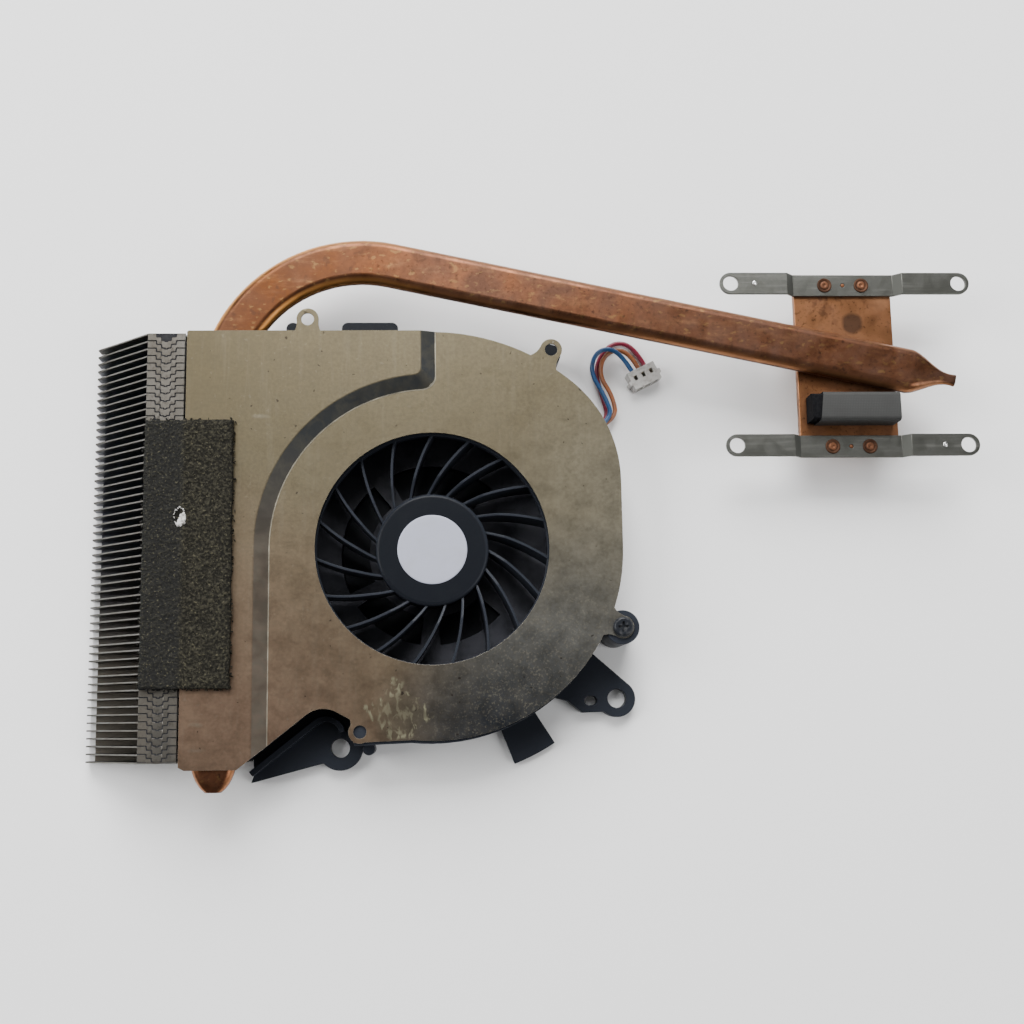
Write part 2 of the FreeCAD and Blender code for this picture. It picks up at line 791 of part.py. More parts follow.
LOW_CENTRE = FAN + Vector(-size("LowWallShift") / 2, -size("LowWallShift"), 0)
LUG = spot("LugDistance", -size("LugDrop"))
SIDE_LUG = spot("SideLugDistance", -size("SideLugDrop"))
WINDOWS = ((48, 118), (130, 205), (215, 262), (275, 318))


def sector(inner, outer, start, end):
    """A piece of a ring round the fan, from one angle to the other."""
    return [
        arc(FAN, inner, start, end),
        line(polar(FAN, inner, end), polar(FAN, outer, end)),
        arc(FAN, outer, end, start),
        line(polar(FAN, outer, start), polar(FAN, inner, start)),
    ]


def case_outline(inset, reach):
    mouth = -size("FinBackDistance") + 0.2 - reach

    def closing(slope_top, slope_end, base, top_left):
        drop = (slope_top.x - mouth) * math.tan(math.radians(size("CrestSlope")))
        corner = Vector(mouth, slope_top.y - drop, 0)
        return [line(slope_top, corner), line(corner, top_left)]

    return scroll(mouth, inset, LOW_CENTRE, size("LowWallRadius") - inset, closing)


def rib(inner, outer):
    """The bar that follows the outside of the cover's crest and its sloping edge."""
    slope = size("CrestSlope")
    along = Vector(-math.cos(math.radians(slope)), -math.sin(math.radians(slope)), 0) * 17.0
    near = polar(CREST, inner, 90 + slope)
    far = polar(CREST, outer, 90 + slope)
    return [
        arc(CREST, outer, 12, 90 + slope),
        line(far, far + along),
        line(far + along, near + along),
        line(near + along, near),
        arc(CREST, inner, 90 + slope, 12),
        line(polar(CREST, inner, 12), polar(CREST, outer, 12)),
    ]


def lug_plan():
    slope = size("CrestSlope")
    along = Vector(-math.cos(math.radians(slope)), -math.sin(math.radians(slope)), 0) * 17.0
    radius = size("CrestRadius") + size("WallInset") + size("WallThick") / 2
    top = polar(CREST, radius, 90 + slope)
    corner = polar(CREST, size("CrestRadius") - size("RibGap"), 90 + slope) + along
    heel = corner + Vector(-0.6, -1.7, 0)
    points = [
        top,
        top + along * 0.86,
        corner,
        heel,
        polar(LUG, size("LugRadius"), 222),
        polar(LUG, size("LugRadius"), -30),
        LOW_EAR + Vector(1.0, -2.0, 0),
        LOW_EAR + Vector(0.4, 2.4, 0),
        polar(CREST, radius, 60),
    ]
    return closed(points)


def side_lug_plan():
    return closed([
        polar(FAN, size("ScrollRadius") - 1, -32),
        polar(SIDE_LUG, size("SideLugRadius"), 42),
        polar(SIDE_LUG, size("SideLugRadius"), -135),
        spot("SlotDistance", -size("SlotDrop") - size("SlotWidth") * 1.35) + Vector(-1.8, 0, 0),
        spot("SlotDistance", -size("SlotDrop")) + Vector(-size("SlotLength") * 1.85, 0, 0),
        polar(FAN, size("ScrollRadius") - 1, -52),
    ])


def slot(centre, length, width):
    half = width / 2
    reach = Vector((length - width) / 2, 0, 0)
    return [
        arc(centre + reach, half, -90, 90),
        line(centre + reach + Vector(0, half, 0), centre - reach + Vector(0, half, 0)),
        arc(centre - reach, half, 90, 270),
        line(centre - reach - Vector(0, half, 0), centre + reach - Vector(0, half, 0)),
    ]


def bump(left, length):
    """A round-cornered bump on the case's straight side."""
    low = size("CoverRise") - 1
    high = size("CoverRise") + size("BumpRise")
    right = left + length
    radius = size("BumpRound")
    shoulder = high - radius
    return [
        line(Vector(left, low, 0), Vector(left, shoulder, 0)),
        arc(Vector(left + radius, shoulder, 0), radius, 180, 90),
        line(Vector(left + radius, high, 0), Vector(right - radius, high, 0)),
        arc(Vector(right - radius, shoulder, 0), radius, 90, 0),
        line(Vector(right, shoulder, 0), Vector(right, low, 0)),
        line(Vector(right, low, 0), Vector(left, low, 0)),
    ]


def fan_housing():
    full = "Sizes.FanRoofLevel + Sizes.RoofStep"
    inset = size("WallInset")
    case = extrude("case_block", case_outline(inset, 0), SURFACE, full)
    room_plan = case_outline(inset + size("WallThick"), 2)
    room = extrude("case_room", room_plan, SURFACE + " + Sizes.FloorThick", full)
    shell = cut("case_shell", case, room)
    radius = size("LugRadius")
    long_bump = bump(FAN.x - size("LongBumpReach"), size("LongBumpLength"))
    short_bump = bump(size("ShortBumpInset") - size("FinBackDistance") - size("ShortBumpLength") / 2,
                      size("ShortBumpLength"))
    side_post = ear(SIDE_EAR, towards_fan(SIDE_EAR), size("PostRadius"), size("EarReach") + 1, 0.4)
    rib_inner = size("RibGap") + 0.5
    rib_plan = rib(rib_inner, rib_inner + size("RibThick"))
    boss_point = LOW_EAR + Vector(1.6, -3.6, 0)
    tab = sector(size("ScrollRadius") - 1, size("ScrollRadius") + 8.4, -69, -57.5)
    steps = (
        ("board_step", 5.0, "Sizes.FloorThick + Sizes.BoardGap"),
        ("stator_step", 3.9, "Sizes.StatorLevel"),
        ("bearing_tube", size("BearingRadius") + size("PostWall"), BEARING_TOP),
    )
    pieces = [
        shell,
        extrude("lug_eye", [circle(LUG, radius)], SURFACE, "Sizes.LugThick"),
        extrude("lug_web", lug_plan(), SURFACE, "Sizes.LugThick"),
        extrude("lug_rib", rib_plan, SURFACE, "Sizes.RibLevel"),
        extrude("side_lug_eye", [circle(SIDE_LUG, size("SideLugRadius"))], SURFACE, "Sizes.LugThick"),
        extrude("side_lug_web", side_lug_plan(), SURFACE, "Sizes.LugThick"),
        extrude("tab", tab, SURFACE, "Sizes.TabThick"),
        extrude("screw_boss", [circle(SCREW_EAR, size("ScrewBossRadius"))], SURFACE, full),
        extrude("side_post", side_post, SURFACE, "Sizes.PostLevel"),
        extrude("low_post", [circle(LOW_EAR, size("PostRadius") - 0.1)], SURFACE, full),
        extrude("low_boss", [circle(boss_point, 1.25)], SURFACE, "Sizes.PostLevel - Sizes.FloorThick"),
        extrude("long_bump", long_bump, SURFACE + " + 5", "7"),
        extrude("short_bump", short_bump, SURFACE + " + 5", "7"),
    ]
    pieces += [extrude(name, [circle(FAN, step)], SURFACE, top) for name, step, top in steps]
    block = common("case_solid", [fuse("case_pieces", pieces), underside])
    pipe_gap = size("HoleClearance") * 6
    bend = size("PipeBendRadius")
    half = size("PipeWidth") / 2 + pipe_gap
    slope = math.radians(size("PipeSlope"))
    centre_x = bend - size("PipeLegDistance")
    centre_y = size("PipeOffset") - (bend + math.sin(slope) * centre_x) / math.cos(slope)
    centre = Vector(centre_x, centre_y, 0)
    passage = [
        arc(centre, bend - half, 110, 190),
        line(polar(centre, bend - half, 190), polar(centre, bend + half, 190)),
        arc(centre, bend + half, 190, 110),
        line(polar(centre, bend + half, 110), polar(centre, bend - half, 110)),
    ]
    notch_y = -size("LeadExitDrop")
    notch_x = -size("LeadExitDistance")
    notch = box_sides(notch_x - 2.4, notch_y - 1.6, notch_x + 4, notch_y + 1.6)
    slot_plan = slot(spot("SlotDistance", -size("SlotDrop")), size("SlotLength"), size("SlotWidth"))
    tools = []
    for number, (start, end) in enumerate(WINDOWS, start=1):
        window = sector(size("WindowInnerRadius"), size("WindowOuterRadius"), start, end)
        tools.append(extrude("window_%d" % number, window, SURFACE, "3"))
    tools += [
        extrude("pipe_passage", passage, "Sizes.PlateThick - Sizes.HoleClearance * 6", "9"),
        extrude("lead_notch", notch, SURFACE, "Sizes.LeadDiameter * 4"),
        extrude("lug_hole", [circle(LUG, size("LugHoleRadius"))], SURFACE, "9"),
        extrude("side_lug_hole", [circle(SIDE_LUG, size("LugHoleRadius"))], SURFACE, "9"),
        extrude("slot_hole", slot_plan, SURFACE, "9"),
        extrude("screw_bore", [circle(SCREW_EAR, size("ScrewShankRadius") + size("HoleClearance"))],
                "Sizes.FanRoofLevel - Sizes.PlateLevel - Sizes.ScrewLength - 1", "20"),
        extrude("bearing_bore", [circle(FAN, size("BearingRadius"))], SURFACE + " + Sizes.FloorThick", "20"),
    ]
    return finish(cut("fan_housing", block, fuse("case_cuts", tools)), "fan_housing")


BEARING_TOP = "Sizes.FloorThick + Sizes.ThrustThick + Sizes.BearingHeight"


# Housing screw: a cross-head screw through the cover's ear into the boss.

def housing_screw():
    body = new_body("housing_screw")
    top = level(size("FanRoofLevel"))
    head = size("ScrewHeadRadius")
    shank = size("ScrewShankRadius")
    rise = size("ScrewHeadThick")
    low = top - size("ScrewLength")
    section = [(0, low), (shank * 0.6, low), (shank, low + 0.6), (shank, top), (head, top)]
    section += [(head, top + rise * 0.55), (head * 0.8, top + rise), (0, top + rise)]
    revolve(body, "screw_turned", body_sketch(body, "screw_section", "XZ_Plane", upright(section)))
    span = size("RecessSpan") / 2
    half = size("RecessWidth") / 2
    corners = []
    for quarter in range(4):
        turn = FreeCAD.Rotation(Vector(0, 0, 1), 90 * quarter)
        points = (Vector(span, -half, 0), Vector(span, half, 0), Vector(half, half, 0))
        corners += [turn.multVec(point) for point in points]
    head_level = "Sizes.FanRoofLevel - Sizes.PlateLevel + Sizes.ScrewHeadThick"
    recess = body_sketch(body, "recess_cross", "XY_Plane", closed(corners), head_level)
    pocket(body, "recess", recess, "Sizes.RecessDepth")
    body.Placement.Base = SCREW_EAR
    return body


# Impeller: a moulded hub cup with curved blades tied together by a ring near their tips.

def blade_arcs():
    root = polar(Vector(0, 0, 0), size("HubRadius") - 0.4, 0)
    middle = polar(Vector(0, 0, 0), size("BladeTipRadius") * 0.692, -size("BladeSweep") * 0.6)
    tip = polar(Vector(0, 0, 0), size("BladeTipRadius"), -size("BladeSweep"))
    bow = Part.Arc(root, middle, tip).toShape().Curve
    centre = bow.Center
    half = size("BladeThick") / 2
    sides = []
    for shift in (-half, half):
        points = [centre + (point - centre) * (1 + shift / bow.Radius) for point in (root, middle, tip)]
        sides.append(points)
    (root_a, middle_a, tip_a), (root_b, middle_b, tip_b) = sides
    return [
        Part.Arc(root_a, middle_a, tip_a),
        line(tip_a, tip_b),
        Part.Arc(tip_b, middle_b, root_b),
        line(root_b, root_a),
    ]


def impeller():
    body = new_body("impeller")
    base = level(size("RotorLevel"))
    hub_top = level(size("HubTopLevel"))
    blade_top = level(size("BladeTopLevel"))
    radius = size("HubRadius")
    ring = size("RingRadius")
    inner_ring = ring - size("RingThick")
    ring_base = blade_top - size("RingHeight")
    band = upright([(inner_ring, ring_base), (ring, ring_base), (ring, blade_top), (inner_ring, blade_top)])
    revolve(body, "tie_ring", body_sketch(body, "tie_ring_section", "XZ_Plane", band))
    plan = body_sketch(body, "blade_plan", "XY_Plane", blade_arcs(), "Sizes.RotorLevel - Sizes.PlateLevel")
    blade = pad(body, "blade", plan, "Sizes.BladeTopLevel - Sizes.RotorLevel")
    polar_pattern(body, "blade_row", blade, "Sizes.BladeCount")
    root_top = level(size("BladeRootLevel"))
    rise_end = radius + size("BladeRise")
    slope = upright([
        (radius - 3, root_top),
        (radius, root_top),
        (rise_end, blade_top),
        (rise_end, blade_top + 1),
        (radius - 3, blade_top + 1),
    ])
    groove = body.newObject("PartDesign::Groove", "blade_slope")
    groove.Profile = body_sketch(body, "blade_slope_section", "XZ_Plane", slope)
    groove.ReferenceAxis = (groove.Profile[0], ["V_Axis"])
    groove.Angle = 360.0
    doc.recompute()
    wall = size("HubWall")
    inner = radius - wall
    round_radius = size("HubRound")
    shoulder = hub_top - round_radius
    ceiling = hub_top - wall
    cup = [
        line(Vector(inner, base, 0), Vector(radius, base, 0)),
        line(Vector(radius, base, 0), Vector(radius, shoulder, 0)),
        arc(Vector(radius - round_radius, shoulder, 0), round_radius, 0, 90),
        line(Vector(radius - round_radius, hub_top, 0), Vector(0, hub_top, 0)),
        line(Vector(0, hub_top, 0), Vector(0, ceiling, 0)),
        line(Vector(0, ceiling, 0), Vector(inner, ceiling, 0)),
        line(Vector(inner, ceiling, 0), Vector(inner, base, 0)),
    ]
    revolve(body, "hub_cup", body_sketch(body, "hub_section", "XZ_Plane", cup))
    body.Placement.Base = FAN
    return body


def turned(label, section):
    body = new_body(label)
    revolve(body, label + "_turned", body_sketch(body, label + "_section", "XZ_Plane", upright(section)))
    body.Placement.Base = FAN
    return body


# Motor: a drawn steel yoke with its magnet turns with the impeller; the wound stator, its board,
# the bearing and the thrust plate sit on the post in the housing.

def rotor_parts():
    outer = size("HubRadius") - size("HubWall")
    inner = outer - size("YokeThick")
    ceiling = level(size("HubTopLevel")) - size("HubWall")
    yoke_ceiling = ceiling - size("YokeThick")
    base = level(size("RotorLevel")) + 0.4
    shaft = size("ShaftRadius")
    top = ceiling + size("HubWall")
    magnet = inner - size("MagnetThick")
    magnet_top = yoke_ceiling - 0.5
    magnet_base = magnet_top - size("MagnetHeight")
    tip = level(size("FloorThick") + size("ThrustThick")) + size("BearingGap")
    yoke = [(inner, base), (outer, base), (outer, ceiling), (shaft, ceiling)]
    yoke += [(shaft, yoke_ceiling), (inner, yoke_ceiling)]
    ring = [(magnet, magnet_base), (inner, magnet_base), (inner, magnet_top), (magnet, magnet_top)]
    pin = [(0, tip), (shaft * 0.5, tip), (shaft, tip + 0.4), (shaft, ceiling), (0, ceiling)]
    label = size("LabelRadius")
    label_top = top + size("LabelThick")
    disc = [(0, top), (label, top), (label, label_top), (0, label_top)]
    return [
        turned("rotor_yoke", yoke),
        turned("rotor_magnet", ring),
        turned("motor_shaft", pin),
        turned("hub_label", disc),
    ]


def bearing_parts():
    base = level(size("FloorThick"))
    seat = base + size("ThrustThick")
    top = seat + size("BearingHeight")
    bore = size("ShaftRadius") + size("BearingGap")
    outer = size("BearingRadius")
    edge = 0.25
    bush = [(bore, seat), (outer, seat), (outer, top - edge), (outer - edge, top)]
    bush += [(bore + edge, top), (bore, top - edge)]
    plate = [(0, base), (outer, base), (outer, seat), (0, seat)]
    return [turned("motor_bearing", bush), turned("thrust_plate", plate)]


def stator_radii():
    bore = size("BearingRadius") + size("PostWall") + size("HoleClearance")
    magnet = size("HubRadius") - size("HubWall") - size("YokeThick") - size("MagnetThick")
    shoe = magnet - size("AirGap")
    return bore, bore + size("StatorRing"), shoe - size("ShoeThick"), shoe


def stator_core():
    body = new_body("stator_core")
    bore, ring, shoe_inner, shoe = stator_radii()
    centre = Vector(0, 0, 0)
    floor = "Sizes.StatorLevel - Sizes.PlateLevel"
    hub = body_sketch(body, "core_ring", "XY_Plane", [circle(centre, ring), circle(centre, bore)], floor)
    pad(body, "core_hub", hub, "Sizes.StatorHeight")
    half = size("PoleWidth") / 2
    spread = size("ShoeAngle") / 2
    turn = math.degrees(math.asin(half / shoe_inner))
    left = polar(centre, shoe_inner, turn)
    right = polar(centre, shoe_inner, -turn)
    root = ring - 0.4
    pole = [
        line(Vector(root, -half, 0), right),
        arc(centre, shoe_inner, -turn, -spread),
        line(polar(centre, shoe_inner, -spread), polar(centre, shoe, -spread)),
        arc(centre, shoe, -spread, spread),
        line(polar(centre, shoe, spread), polar(centre, shoe_inner, spread)),
        arc(centre, shoe_inner, spread, turn),
        line(left, Vector(root, half, 0)),
        line(Vector(root, half, 0), Vector(root, -half, 0)),
    ]
    pole_plan = body_sketch(body, "pole_plan", "XY_Plane", pole, floor)
    one_pole = pad(body, "pole", pole_plan, "Sizes.StatorHeight")
    polar_pattern(body, "poles", one_pole, "Sizes.PoleCount")
    body.Placement.Base = FAN
    return body


def stator_coils():
    ring, shoe_inner = stator_radii()[1:3]
    half = size("PoleWidth") / 2
    thick = size("CoilThick")
    start = ring + 0.25
    reach = math.sqrt(shoe_inner ** 2 - (half + thick) ** 2) - 0.1
    coils = []
    for number in range(int(size("PoleCount"))):
        body = new_body("coil_%d" % (number + 1))
        outer = box_sides(start, -half - thick, reach, half + thick)
        coil_level = "Sizes.StatorLevel - Sizes.PlateLevel - Sizes.CoilThick"
        wound = body_sketch(body, "coil_plan_%d" % (number + 1), "XY_Plane", outer, coil_level)
        pad(body, "coil_block_%d" % (number + 1), wound, "Sizes.StatorHeight + 2 * Sizes.CoilThick")
        core_base = level(size("StatorLevel"))
        core = box_sides(-half, core_base, half, core_base + size("StatorHeight"))
        eye = body_sketch(body, "coil_eye_%d" % (number + 1), "YZ_Plane", core)
        pocket(body, "coil_opening_%d" % (number + 1), eye, "2 * Sizes.HubRadius", both=True)
        turn = FreeCAD.Rotation(Vector(0, 0, 1), 360.0 / size("PoleCount") * number)
        body.Placement = FreeCAD.Placement(FAN, turn)
        coils.append(body)
    group = doc.addObject("Part::Compound", "stator_coils")
    group.Links = coils
    return finish(group, "stator_coils")


def motor_board():
    body = new_body("motor_board")
    centre = Vector(0, 0, 0)
    hole = 3.9 + size("HoleClearance")
    plan = [circle(centre, size("BoardRadius")), circle(centre, hole)]
    board_level = "Sizes.FloorThick + Sizes.BoardGap - Sizes.PlateLevel"
    disc = body_sketch(body, "board_plan", "XY_Plane", plan, board_level)
    pad(body, "board_disc", disc, "Sizes.BoardThick")
    body.Placement.Base = FAN
    return body


# Foam strip: a soft seal stuck along the left edge of the cover, over the pipe.

def foam_pad():
    body = new_body("foam_pad")
    right = -size("FoamDistance")
    left = right - size("FoamWidth")
    edge = -size("CoverDistance")
    fin_top = level(size("FinHeight"))
    cover_top = level(size("FanRoofLevel") + size("RoofStep"))
    top = level(size("FoamTopLevel"))
    round_radius = 0.7
    sides = [
        line(Vector(left, fin_top, 0), Vector(edge, fin_top, 0)),
        line(Vector(edge, fin_top, 0), Vector(edge, cover_top, 0)),
        line(Vector(edge, cover_top, 0), Vector(right, cover_top, 0)),
        line(Vector(right, cover_top, 0), Vector(right, top - round_radius, 0)),
        arc(Vector(right - round_radius, top - round_radius, 0), round_radius, 0, 90),
        line(Vector(right - round_radius, top, 0), Vector(left + round_radius, top, 0)),
        arc(Vector(left + round_radius, top - round_radius, 0), round_radius, 90, 180),
        line(Vector(left, top - round_radius, 0), Vector(left, fin_top, 0)),
    ]
    section = body_sketch(body, "foam_section", "XZ_Plane", sides, "Sizes.FoamDrop")
    pad(body, "foam_strip", section, "Sizes.FoamLength")
    return body


# Leads: three thin wires in one loop from the notch in the case to the plug, one above another.

LEADS = (
    ("lead_red", "LeadLowLevel", [
        (-54.9, -12.4), (-50.4, -9.8), (-52.2, -3.8), (-53.6, 2.8),
        (-49.8, 8.4), (-44.6, 7.6), (-42.16, 2.68),
    ]),
    ("lead_brown", "LeadMidLevel", [
        (-55.2, -12.6), (-49.0, -9.9), (-49.8, -4.4), (-52.8, 0.4),
        (-51.4, 5.6), (-46.2, 6.5), (-43.86, 1.83),
    ]),
    ("lead_blue", "LeadTopLevel", [
        (-55.4, -13.0), (-49.9, -10.0), (-51.8, -4.6), (-55.0, 1.0),
        (-53.2, 6.0), (-48.4, 6.1), (-45.56, 0.98),
    ]),
)


def rounded(points):
    """Straight runs joined by arcs as large as the two runs at each corner allow."""
    corners = [Vector(x, y, 0) for x, y in points]
    edges = []
    start = corners[0]
    for before, corner, after in zip(corners, corners[1:], corners[2:]):
        back = before - corner
        ahead = after - corner
        shorter = min(back.Length, ahead.Length)
        half_turn = (math.pi - back.getAngle(ahead)) / 2
        tangent = 0.45 * shorter
        radius = tangent / math.tan(half_turn)
        inward = (back.normalize() + ahead.normalize()).normalize()
        begin = corner + back * tangent
        end = corner + ahead * tangent
        centre = corner + inward * (radius / math.cos(half_turn))
        edges.append(line(start, begin))
        edges.append(Part.Arc(begin, centre - inward * radius, end))
        start = end
    edges.append(line(start, corners[-1]))
    return edges


def lead(label, height, points):
    edges = rounded(points)
    route = free_sketch(label + "_route", edges, "Sizes.%s - Sizes.PlateLevel" % height)
    first = Vector(points[0][0], points[0][1], 0)
    second = Vector(points[1][0], points[1][1], 0)
    ahead = (second - first).normalize()
    section = doc.addObject("Sketcher::SketchObject", label + "_section")
    section.addGeometry([circle(Vector(0, 0, 0), size("LeadDiameter") / 2)], False)
    side = ahead.cross(Vector(0, 0, 1))
    turn = FreeCAD.Rotation(side, Vector(0, 0, 1), ahead, "ZXY")
    section.Placement = FreeCAD.Placement(first + Vector(0, 0, level(size(height))), turn)
    tube = doc.addObject("Part::Sweep", label)
    tube.Sections = [section]
    tube.Spine = (route, ["Edge%d" % number for number in range(1, len(edges) + 1)])
    tube.Solid = True
    tube.Frenet = True
    return finish(tube, label)


# Plug: a three-way wire housing with open contact bays on its far side and two guide ears.

def plug_turn():
    centre = Vector(-size("PlugDistance"), -size("PlugDrop"), 0)
    return FreeCAD.Placement(centre, FreeCAD.Rotation(Vector(0, 0, 1), size("PlugAngle")))


def bay_centres():
    return [size("PlugPitch") * step for step in (-1, 0, 1)]


def lead_plug():
    body = new_body("lead_plug")
    half = size("PlugLength") / 2
    depth = size("PlugDepth") / 2
    wall = size("PlugWall")
    ear_back = -depth + 1.2
    outline = closed([
        Vector(-half, depth, 0),
        Vector(-half, ear_back + 1.0, 0),
        Vector(-half - 0.55, ear_back + 1.0, 0),
        Vector(-half - 0.55, ear_back, 0),
        Vector(-half, ear_back, 0),
        Vector(-half, -depth, 0),
        Vector(half, -depth, 0),
        Vector(half, ear_back, 0),
        Vector(half + 0.55, ear_back, 0),
        Vector(half + 0.55, ear_back + 1.0, 0),
        Vector(half, ear_back + 1.0, 0),
        Vector(half, depth, 0),
    ])
    pad(body, "plug_block", body_sketch(body, "plug_plan", "XY_Plane", outline, SURFACE), "Sizes.PlugHeight")
    bay = size("PlugBay") / 2 - 0.2
    bottom = level(wall)
    top = level(size("PlugHeight") - wall)
    bays = []
    for middle in bay_centres():
        bays += box_sides(middle - bay, bottom, middle + bay, top)
    openings = body_sketch(body, "bay_openings", "XZ_Plane", bays, "Sizes.PlugDepth / 2")
    pocket(body, "contact_bays", openings, "Sizes.PlugDepth - 1")
    windows = []
    for middle in bay_centres():
        windows += box_sides(middle - 0.4, -0.2, middle + 0.4, 0.9)
    latch = body_sketch(body, "latch_windows", "XY_Plane", windows, "Sizes.PlugHeight - Sizes.PlateLevel")
    pocket(body, "latches", latch, "Sizes.PlugWall")
    body.Placement = plug_turn()
    return body


def plug_contacts():
    contacts = []
    for number, middle in enumerate(bay_centres(), start=1):
        body = new_body("contact_%d" % number)
        back = size("PlugDepth") / 2 - 1
        front = -size("PlugDepth") / 2 + 0.4
        floor = level(size("PlugWall"))
        roof = level(size("PlugHeight") - size("PlugWall"))
        sides = closed([
            Vector(back, floor, 0),
            Vector(back, roof, 0),
            Vector(back - 0.25, roof, 0),
            Vector(back - 0.25, floor + 0.25, 0),
            Vector(front, floor + 0.25, 0),
            Vector(front, floor, 0),
        ])
        strip = body_sketch(body, "contact_side_%d" % number, "YZ_Plane", sides, str(middle))
        pad(body, "contact_strip_%d" % number, strip, "Sizes.ContactWidth", both=True)
        body.Placement = plug_turn()
        contacts.append(body)
    group = doc.addObject("Part::Compound", "plug_contacts")
    group.Links = contacts
    return finish(group, "plug_contacts")


cover, underside = fan_cover()
NODES = [
    cold_plate(),
    spring_arm("upper_arm", 1),
    spring_arm("lower_arm", -1),
    arm_rivets(),
    heat_pipe(),
    plate_gasket(),
    fin_stack(),
    cover,
    fan_housing(),
    housing_screw(),
    impeller(),
]
NODES += rotor_parts()
NODES += bearing_parts()
NODES += [stator_core(), stator_coils(), motor_board(), foam_pad()]
NODES += [lead(*row) for row in LEADS]
NODES += [lead_plug(), plug_contacts()]

doc.recompute()
os.makedirs("parts", exist_ok=True)
for node in NODES:
    if "Invalid" in node.State or "Error" in node.State or node.Shape.isNull() or not node.Shape.isValid():
        raise ValueError(node.Label + " did not build")
    box = node.Shape.BoundBox
    print(node.Label, len(node.Shape.Solids), round(node.Shape.Volume, 1))
    print("    x %.2f %.2f, y %.2f %.2f" % (box.XMin, box.XMax, box.YMin, box.YMax))
    print("    z %.2f %.2f" % (box.ZMin, box.ZMax))
    node.Shape.exportStep("parts/%s.step" % node.Label)
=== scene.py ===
import bpy
import bmesh
import math
import random
from mathutils import Matrix, Vector, noise


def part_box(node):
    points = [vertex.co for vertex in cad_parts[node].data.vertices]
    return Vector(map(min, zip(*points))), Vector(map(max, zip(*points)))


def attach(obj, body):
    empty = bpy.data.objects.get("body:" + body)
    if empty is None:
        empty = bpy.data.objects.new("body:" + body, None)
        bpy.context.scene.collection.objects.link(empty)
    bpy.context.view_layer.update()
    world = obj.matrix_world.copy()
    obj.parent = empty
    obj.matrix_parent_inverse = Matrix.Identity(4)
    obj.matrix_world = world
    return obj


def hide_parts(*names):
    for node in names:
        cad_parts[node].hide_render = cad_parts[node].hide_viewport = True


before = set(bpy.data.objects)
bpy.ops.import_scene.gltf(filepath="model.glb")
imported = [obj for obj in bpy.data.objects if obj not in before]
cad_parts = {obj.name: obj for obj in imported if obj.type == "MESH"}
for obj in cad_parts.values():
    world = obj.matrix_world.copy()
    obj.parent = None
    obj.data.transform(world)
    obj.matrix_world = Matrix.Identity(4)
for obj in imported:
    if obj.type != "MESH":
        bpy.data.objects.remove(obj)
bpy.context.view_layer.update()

# Table, camera and light: the cooler lies flat on a plain white surface and is seen from
# straight above by a camera that leans a little, under soft light from the far side. A dark disc
# lies on the table below the fan as painted shade, so that no white shows through its floor windows.

MM = 0.001
TABLE_HEIGHT = -8.0 * MM
TABLE_SIDE = 8.0
TABLE_DROP = 0.1 * MM
TABLE_WHITE = (0.93, 0.93, 0.93)
SHADE_RADIUS = 25.0 * MM
SHADE_DROP = 0.05 * MM
SHADE_BLACK = (0.010, 0.011, 0.014)
CAMERA_PLACE = (-91.41 * MM, -75.50 * MM, 244.93 * MM)
CAMERA_TURN = (7.684, -1.610, -0.587)
CAMERA_LENS = 41.035
CAMERA_SENSOR = 36.0
CAMERA_SHIFT = 0.05
CAMERA_REACH = (0.01, 20.0)
LIGHT_AIM = (-0.08, -0.03, 0.0)
SOFT_LIGHTS = (
    ("north_window", (-0.15, 1.05, 0.85), 1.00, 40.0),
    ("west_window", (-1.05, 0.15, 0.70), 0.70, 14.0),
    ("east_fill", (0.95, -0.40, 0.80), 0.70, 8.0),
    ("ceiling_panel", (-0.30, 0.52, 1.05), 0.55, 2.2),
)
STUDIO_WHITE = (1.0, 1.0, 1.0, 1.0)
STUDIO_STRENGTH = 0.20


def new_object(name, data):
    made = bpy.data.objects.new(name, data)
    bpy.context.scene.collection.objects.link(made)
    return made


def mesh_object(name, form, *materials):
    """Turn a finished bmesh into an object at the origin, with its materials in order."""
    mesh = bpy.data.meshes.new(name)
    form.to_mesh(mesh)
    form.free()
    for material in materials:
        mesh.materials.append(material)
    return new_object(name, mesh)


def new_finish(name, colour, metallic, roughness, gloss=None):
    """A material whose even numbers stay on the shader's own sockets; gloss is a weaker shine."""
    material = bpy.data.materials.new(name)
    material.use_nodes = True
    shader = material.node_tree.nodes["Principled BSDF"]
    shader.inputs["Base Color"].default_value = (*colour, 1.0)
    shader.inputs["Metallic"].default_value = metallic
    shader.inputs["Roughness"].default_value = roughness
    if gloss is not None:
        shader.inputs["Specular IOR Level"].default_value = gloss
    return material


white_table = new_finish("white_table", TABLE_WHITE, 0.0, 0.8)
form = bmesh.new()
bmesh.ops.create_grid(form, x_segments=1, y_segments=1, size=TABLE_SIDE / 2)
bmesh.ops.translate(form, verts=form.verts, vec=(0.0, 0.0, TABLE_HEIGHT - TABLE_DROP))
mesh_object("table", form, white_table)

low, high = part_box("impeller")
fan_centre = (low + high) / 2
# Painted shade: a dark sheet on the table under the fan.
painted_shade_sheet = new_finish("painted_shade_sheet", SHADE_BLACK, 0.0, 0.95)
form = bmesh.new()
bmesh.ops.create_circle(form, cap_ends=True, segments=72, radius=SHADE_RADIUS)
bmesh.ops.translate(form, verts=form.verts, vec=(fan_centre.x, fan_centre.y, TABLE_HEIGHT - SHADE_DROP))
mesh_object("shade_disc", form, painted_shade_sheet)

